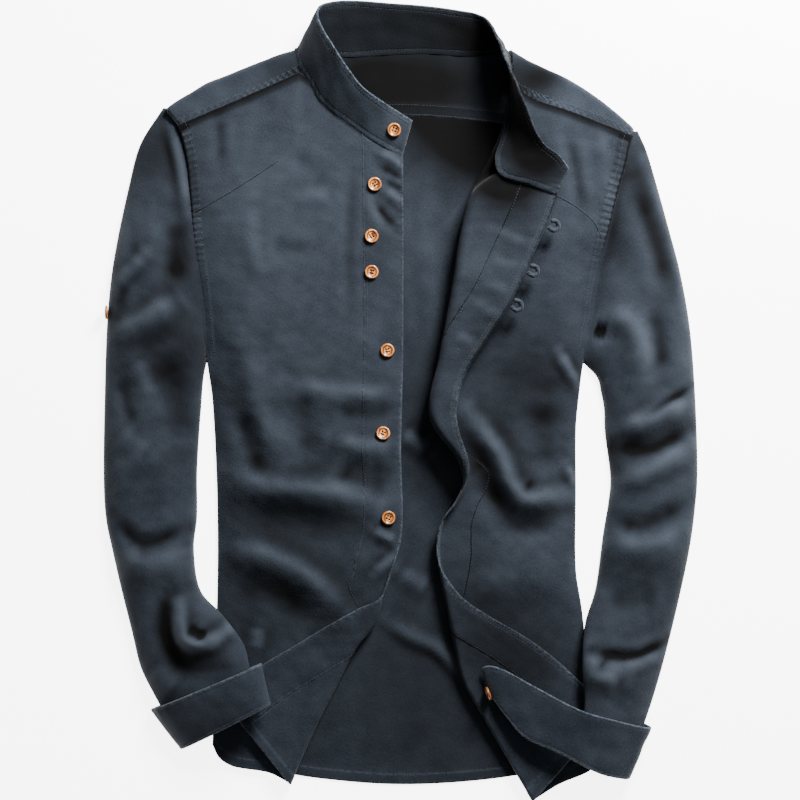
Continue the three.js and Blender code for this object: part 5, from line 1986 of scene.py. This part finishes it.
class SHIRT_OT_stitching(bpy.types.Operator):
    """Sews the lines of stitching that show on the cloth"""

    bl_idname = "shirt.stitching"
    bl_label = "Stitching"

    def execute(self, context):
        sizes = context.scene.shirt_sizes
        for name, cloth in CLOTHS.items():
            lines = seam_lines(name, cloth)
            if lines:
                sew(f"{name}_stitches", lines, sizes)
        # Painted shadow and painted highlight: thin cords laid along the chest's seam lines.
        for name, finish, line in PAINTED_DART_LINES:
            bends = smooth_line([(x, y, 0) for x, y in line], 60)[:, :2]
            path, _ = laid_on(CLOTHS[name], bends)
            points, run_on = cord_grid(path, 0.5, 8)
            cord_piece(f"{name}_dart_painted_line", points, run_on, 3, finish)
        return {"FINISHED"}


def laid_on(cloth, plan):
    """Points of a cloth's upper face above plan points, with the directions up."""
    seen, up = cloth.seen()
    flat_seen = seen.reshape(-1, 3)
    flat_up = up.reshape(-1, 3)
    spots = []
    ways = []
    for x, y in plan:
        away = (flat_seen[:, 0] - x) ** 2 + (flat_seen[:, 1] - y) ** 2
        near = np.argsort(away)[:4]
        share = 1 / (away[near] + 0.05)
        share /= share.sum()
        spots.append((x, y, (flat_seen[near, 2] * share).sum()))
        ways.append((flat_up[near] * share[:, None]).sum(axis=0))
    return np.array(spots), np.array(ways)


def buttonhole(x, y):
    """Plan points round a buttonhole that runs along the facing."""
    angle = np.linspace(0, 2 * math.pi, 40)
    along = 6 * np.cos(angle)
    aside = 1.1 * np.sin(angle)
    lean = math.radians(72)
    return np.stack(
        [
            x + along * math.cos(lean) - aside * math.sin(lean),
            y + along * math.sin(lean) + aside * math.cos(lean),
        ],
        axis=1,
    )


# Stitched lines by piece: distance from a border, and whether that is the far one.
STITCHED_COLUMNS = {
    "right_placket": ((3, True), (36, True)),
    "left_placket": ((3, True), (6, True), (36, True)),
    "yoke": ((1.6, True), (11, True)),
    "collar": ((5.2, False), (2.6, True), (6, True)),
    "left_cuff": ((2.8, False), (2.8, True)),
}
STITCHED_ROWS = {
    "right_placket": ((9, True),),
    "left_placket": ((9, True),),
    "right_front": ((9, True),),
    "left_front": ((9, True),),
    "back": ((9, True),),
    "left_cuff": ((2.8, True),),
    "right_cuff": ((2.8, False), (2.8, True)),
}


def seam_lines(name, cloth):
    """Stitched lines of a piece: columns at widths from a border and rows at lengths from it."""
    seen, up = cloth.seen()
    lines = []
    if name == "left_placket":
        for x, y in BUTTONHOLES:
            lines.append(laid_on(cloth, buttonhole(x, y)))

    def column(width, far=False, part=slice(None)):
        """Line of stitches at a width from a border."""
        across = cloth.across[:, -1:] - cloth.across if far else cloth.across
        picks = np.argmin(np.abs(across - width), axis=1)
        rows = np.arange(len(picks))[part]
        lines.append((seen[rows, picks[part]], up[rows, picks[part]]))

    def row(length, far):
        """Line of stitches at a length from an end."""
        down = cloth.down[-1:] - cloth.down if far else cloth.down
        picks = np.argmin(np.abs(down - length), axis=0)
        columns = np.arange(len(picks))
        lines.append((seen[picks, columns], up[picks, columns]))

    for width, far in STITCHED_COLUMNS.get(name, ()):
        column(width, far)
    for length, far in STITCHED_ROWS.get(name, ()):
        row(length, far)
    if name.endswith("_front"):
        low = nearest(cloth.middle[:, 0, 1], 40)
        column(8.6, part=slice(0, low))
    if name == "yoke":
        ends = cloth.middle.shape[0]
        column(8.6, part=slice(0, int(ends * 4.6 / 19)))
        column(8.6, part=slice(int(ends * 13.6 / 19), ends))
    return lines


class SHIRT_OT_studio(bpy.types.Operator):
    """Sets the floor, the soft lights and the camera"""

    bl_idname = "shirt.studio"
    bl_label = "Studio"

    def execute(self, context):
        studio = context.scene.shirt_studio
        form = bmesh.new()
        bmesh.ops.create_grid(form, x_segments=1, y_segments=1, size=4)
        mesh = bpy.data.meshes.new("floor")
        form.to_mesh(mesh)
        form.free()
        floor = bpy.data.objects.new("floor", mesh)
        mesh.materials.append(material("studio paper"))
        context.scene.collection.objects.link(floor)
        self.light("key", (0.6, 1.15, 0.8), 0.5, studio.key_power)
        self.light("fill", (0.3, 0.1, 2.6), 2.4, studio.fill_power)
        world = bpy.data.worlds.new("studio")
        world.use_nodes = True
        world.node_tree.nodes["Background"].inputs["Color"].default_value = (1, 1, 1, 1)
        world.node_tree.nodes["Background"].inputs["Strength"].default_value = studio.sky
        context.scene.world = world
        camera = bpy.data.objects.new("camera", bpy.data.cameras.new("camera"))
        camera.data.lens = studio.lens
        camera.data.sensor_width = 36
        away = studio.view_width * studio.lens / 36
        camera.location = (-CENTRE_X * MM, -CENTRE_Y * MM, away)
        camera.data.clip_end = 20
        context.scene.collection.objects.link(camera)
        context.scene.camera = camera
        return {"FINISHED"}

    def light(self, name, place, size, power):
        """Square soft light that looks at the shirt."""
        lamp = bpy.data.lights.new(name, "AREA")
        lamp.shape = "SQUARE"
        lamp.size = size
        lamp.energy = power
        made = bpy.data.objects.new(name, lamp)
        made.location = place
        made.rotation_euler = (-Vector(place)).to_track_quat("-Z", "Y").to_euler()
        bpy.context.scene.collection.objects.link(made)


class VIEW3D_PT_shirt(bpy.types.Panel):
    """Sizes, colours and pieces of the shirt"""

    bl_label = "Shirt"
    bl_space_type = "VIEW_3D"
    bl_region_type = "UI"
    bl_category = "Shirt"

    def draw(self, context):
        scene = context.scene
        for group in (scene.shirt_sizes, scene.shirt_colours, scene.shirt_studio):
            box = self.layout.box()
            for name in group.__annotations__:
                box.prop(group, name)
        for step in STEPS:
            self.layout.operator(step.bl_idname)


STEPS = (
    SHIRT_OT_materials,
    SHIRT_OT_studio,
    SHIRT_OT_back,
    SHIRT_OT_fronts,
    SHIRT_OT_collar,
    SHIRT_OT_sleeves,
    SHIRT_OT_buttons,
    SHIRT_OT_loops,
    SHIRT_OT_stitching,
)
GROUPS = (ShirtSizes, ShirtColours, StudioSettings)


def register():
    for group in (*GROUPS, *STEPS, VIEW3D_PT_shirt):
        bpy.utils.register_class(group)
    bpy.types.Scene.shirt_sizes = bpy.props.PointerProperty(type=ShirtSizes)
    bpy.types.Scene.shirt_colours = bpy.props.PointerProperty(type=ShirtColours)
    bpy.types.Scene.shirt_studio = bpy.props.PointerProperty(type=StudioSettings)


def unregister():
    del bpy.types.Scene.shirt_studio
    del bpy.types.Scene.shirt_colours
    del bpy.types.Scene.shirt_sizes
    for group in reversed((*GROUPS, *STEPS, VIEW3D_PT_shirt)):
        bpy.utils.unregister_class(group)


def main():
    """Builds the whole scene."""
    register()
    bpy.ops.shirt.materials()
    bpy.ops.shirt.studio()
    bpy.ops.shirt.back()
    bpy.ops.shirt.fronts()
    bpy.ops.shirt.collar()
    bpy.ops.shirt.sleeves()
    bpy.ops.shirt.buttons()
    bpy.ops.shirt.loops()
    bpy.ops.shirt.stitching()


if __name__ == "__main__":
    main()
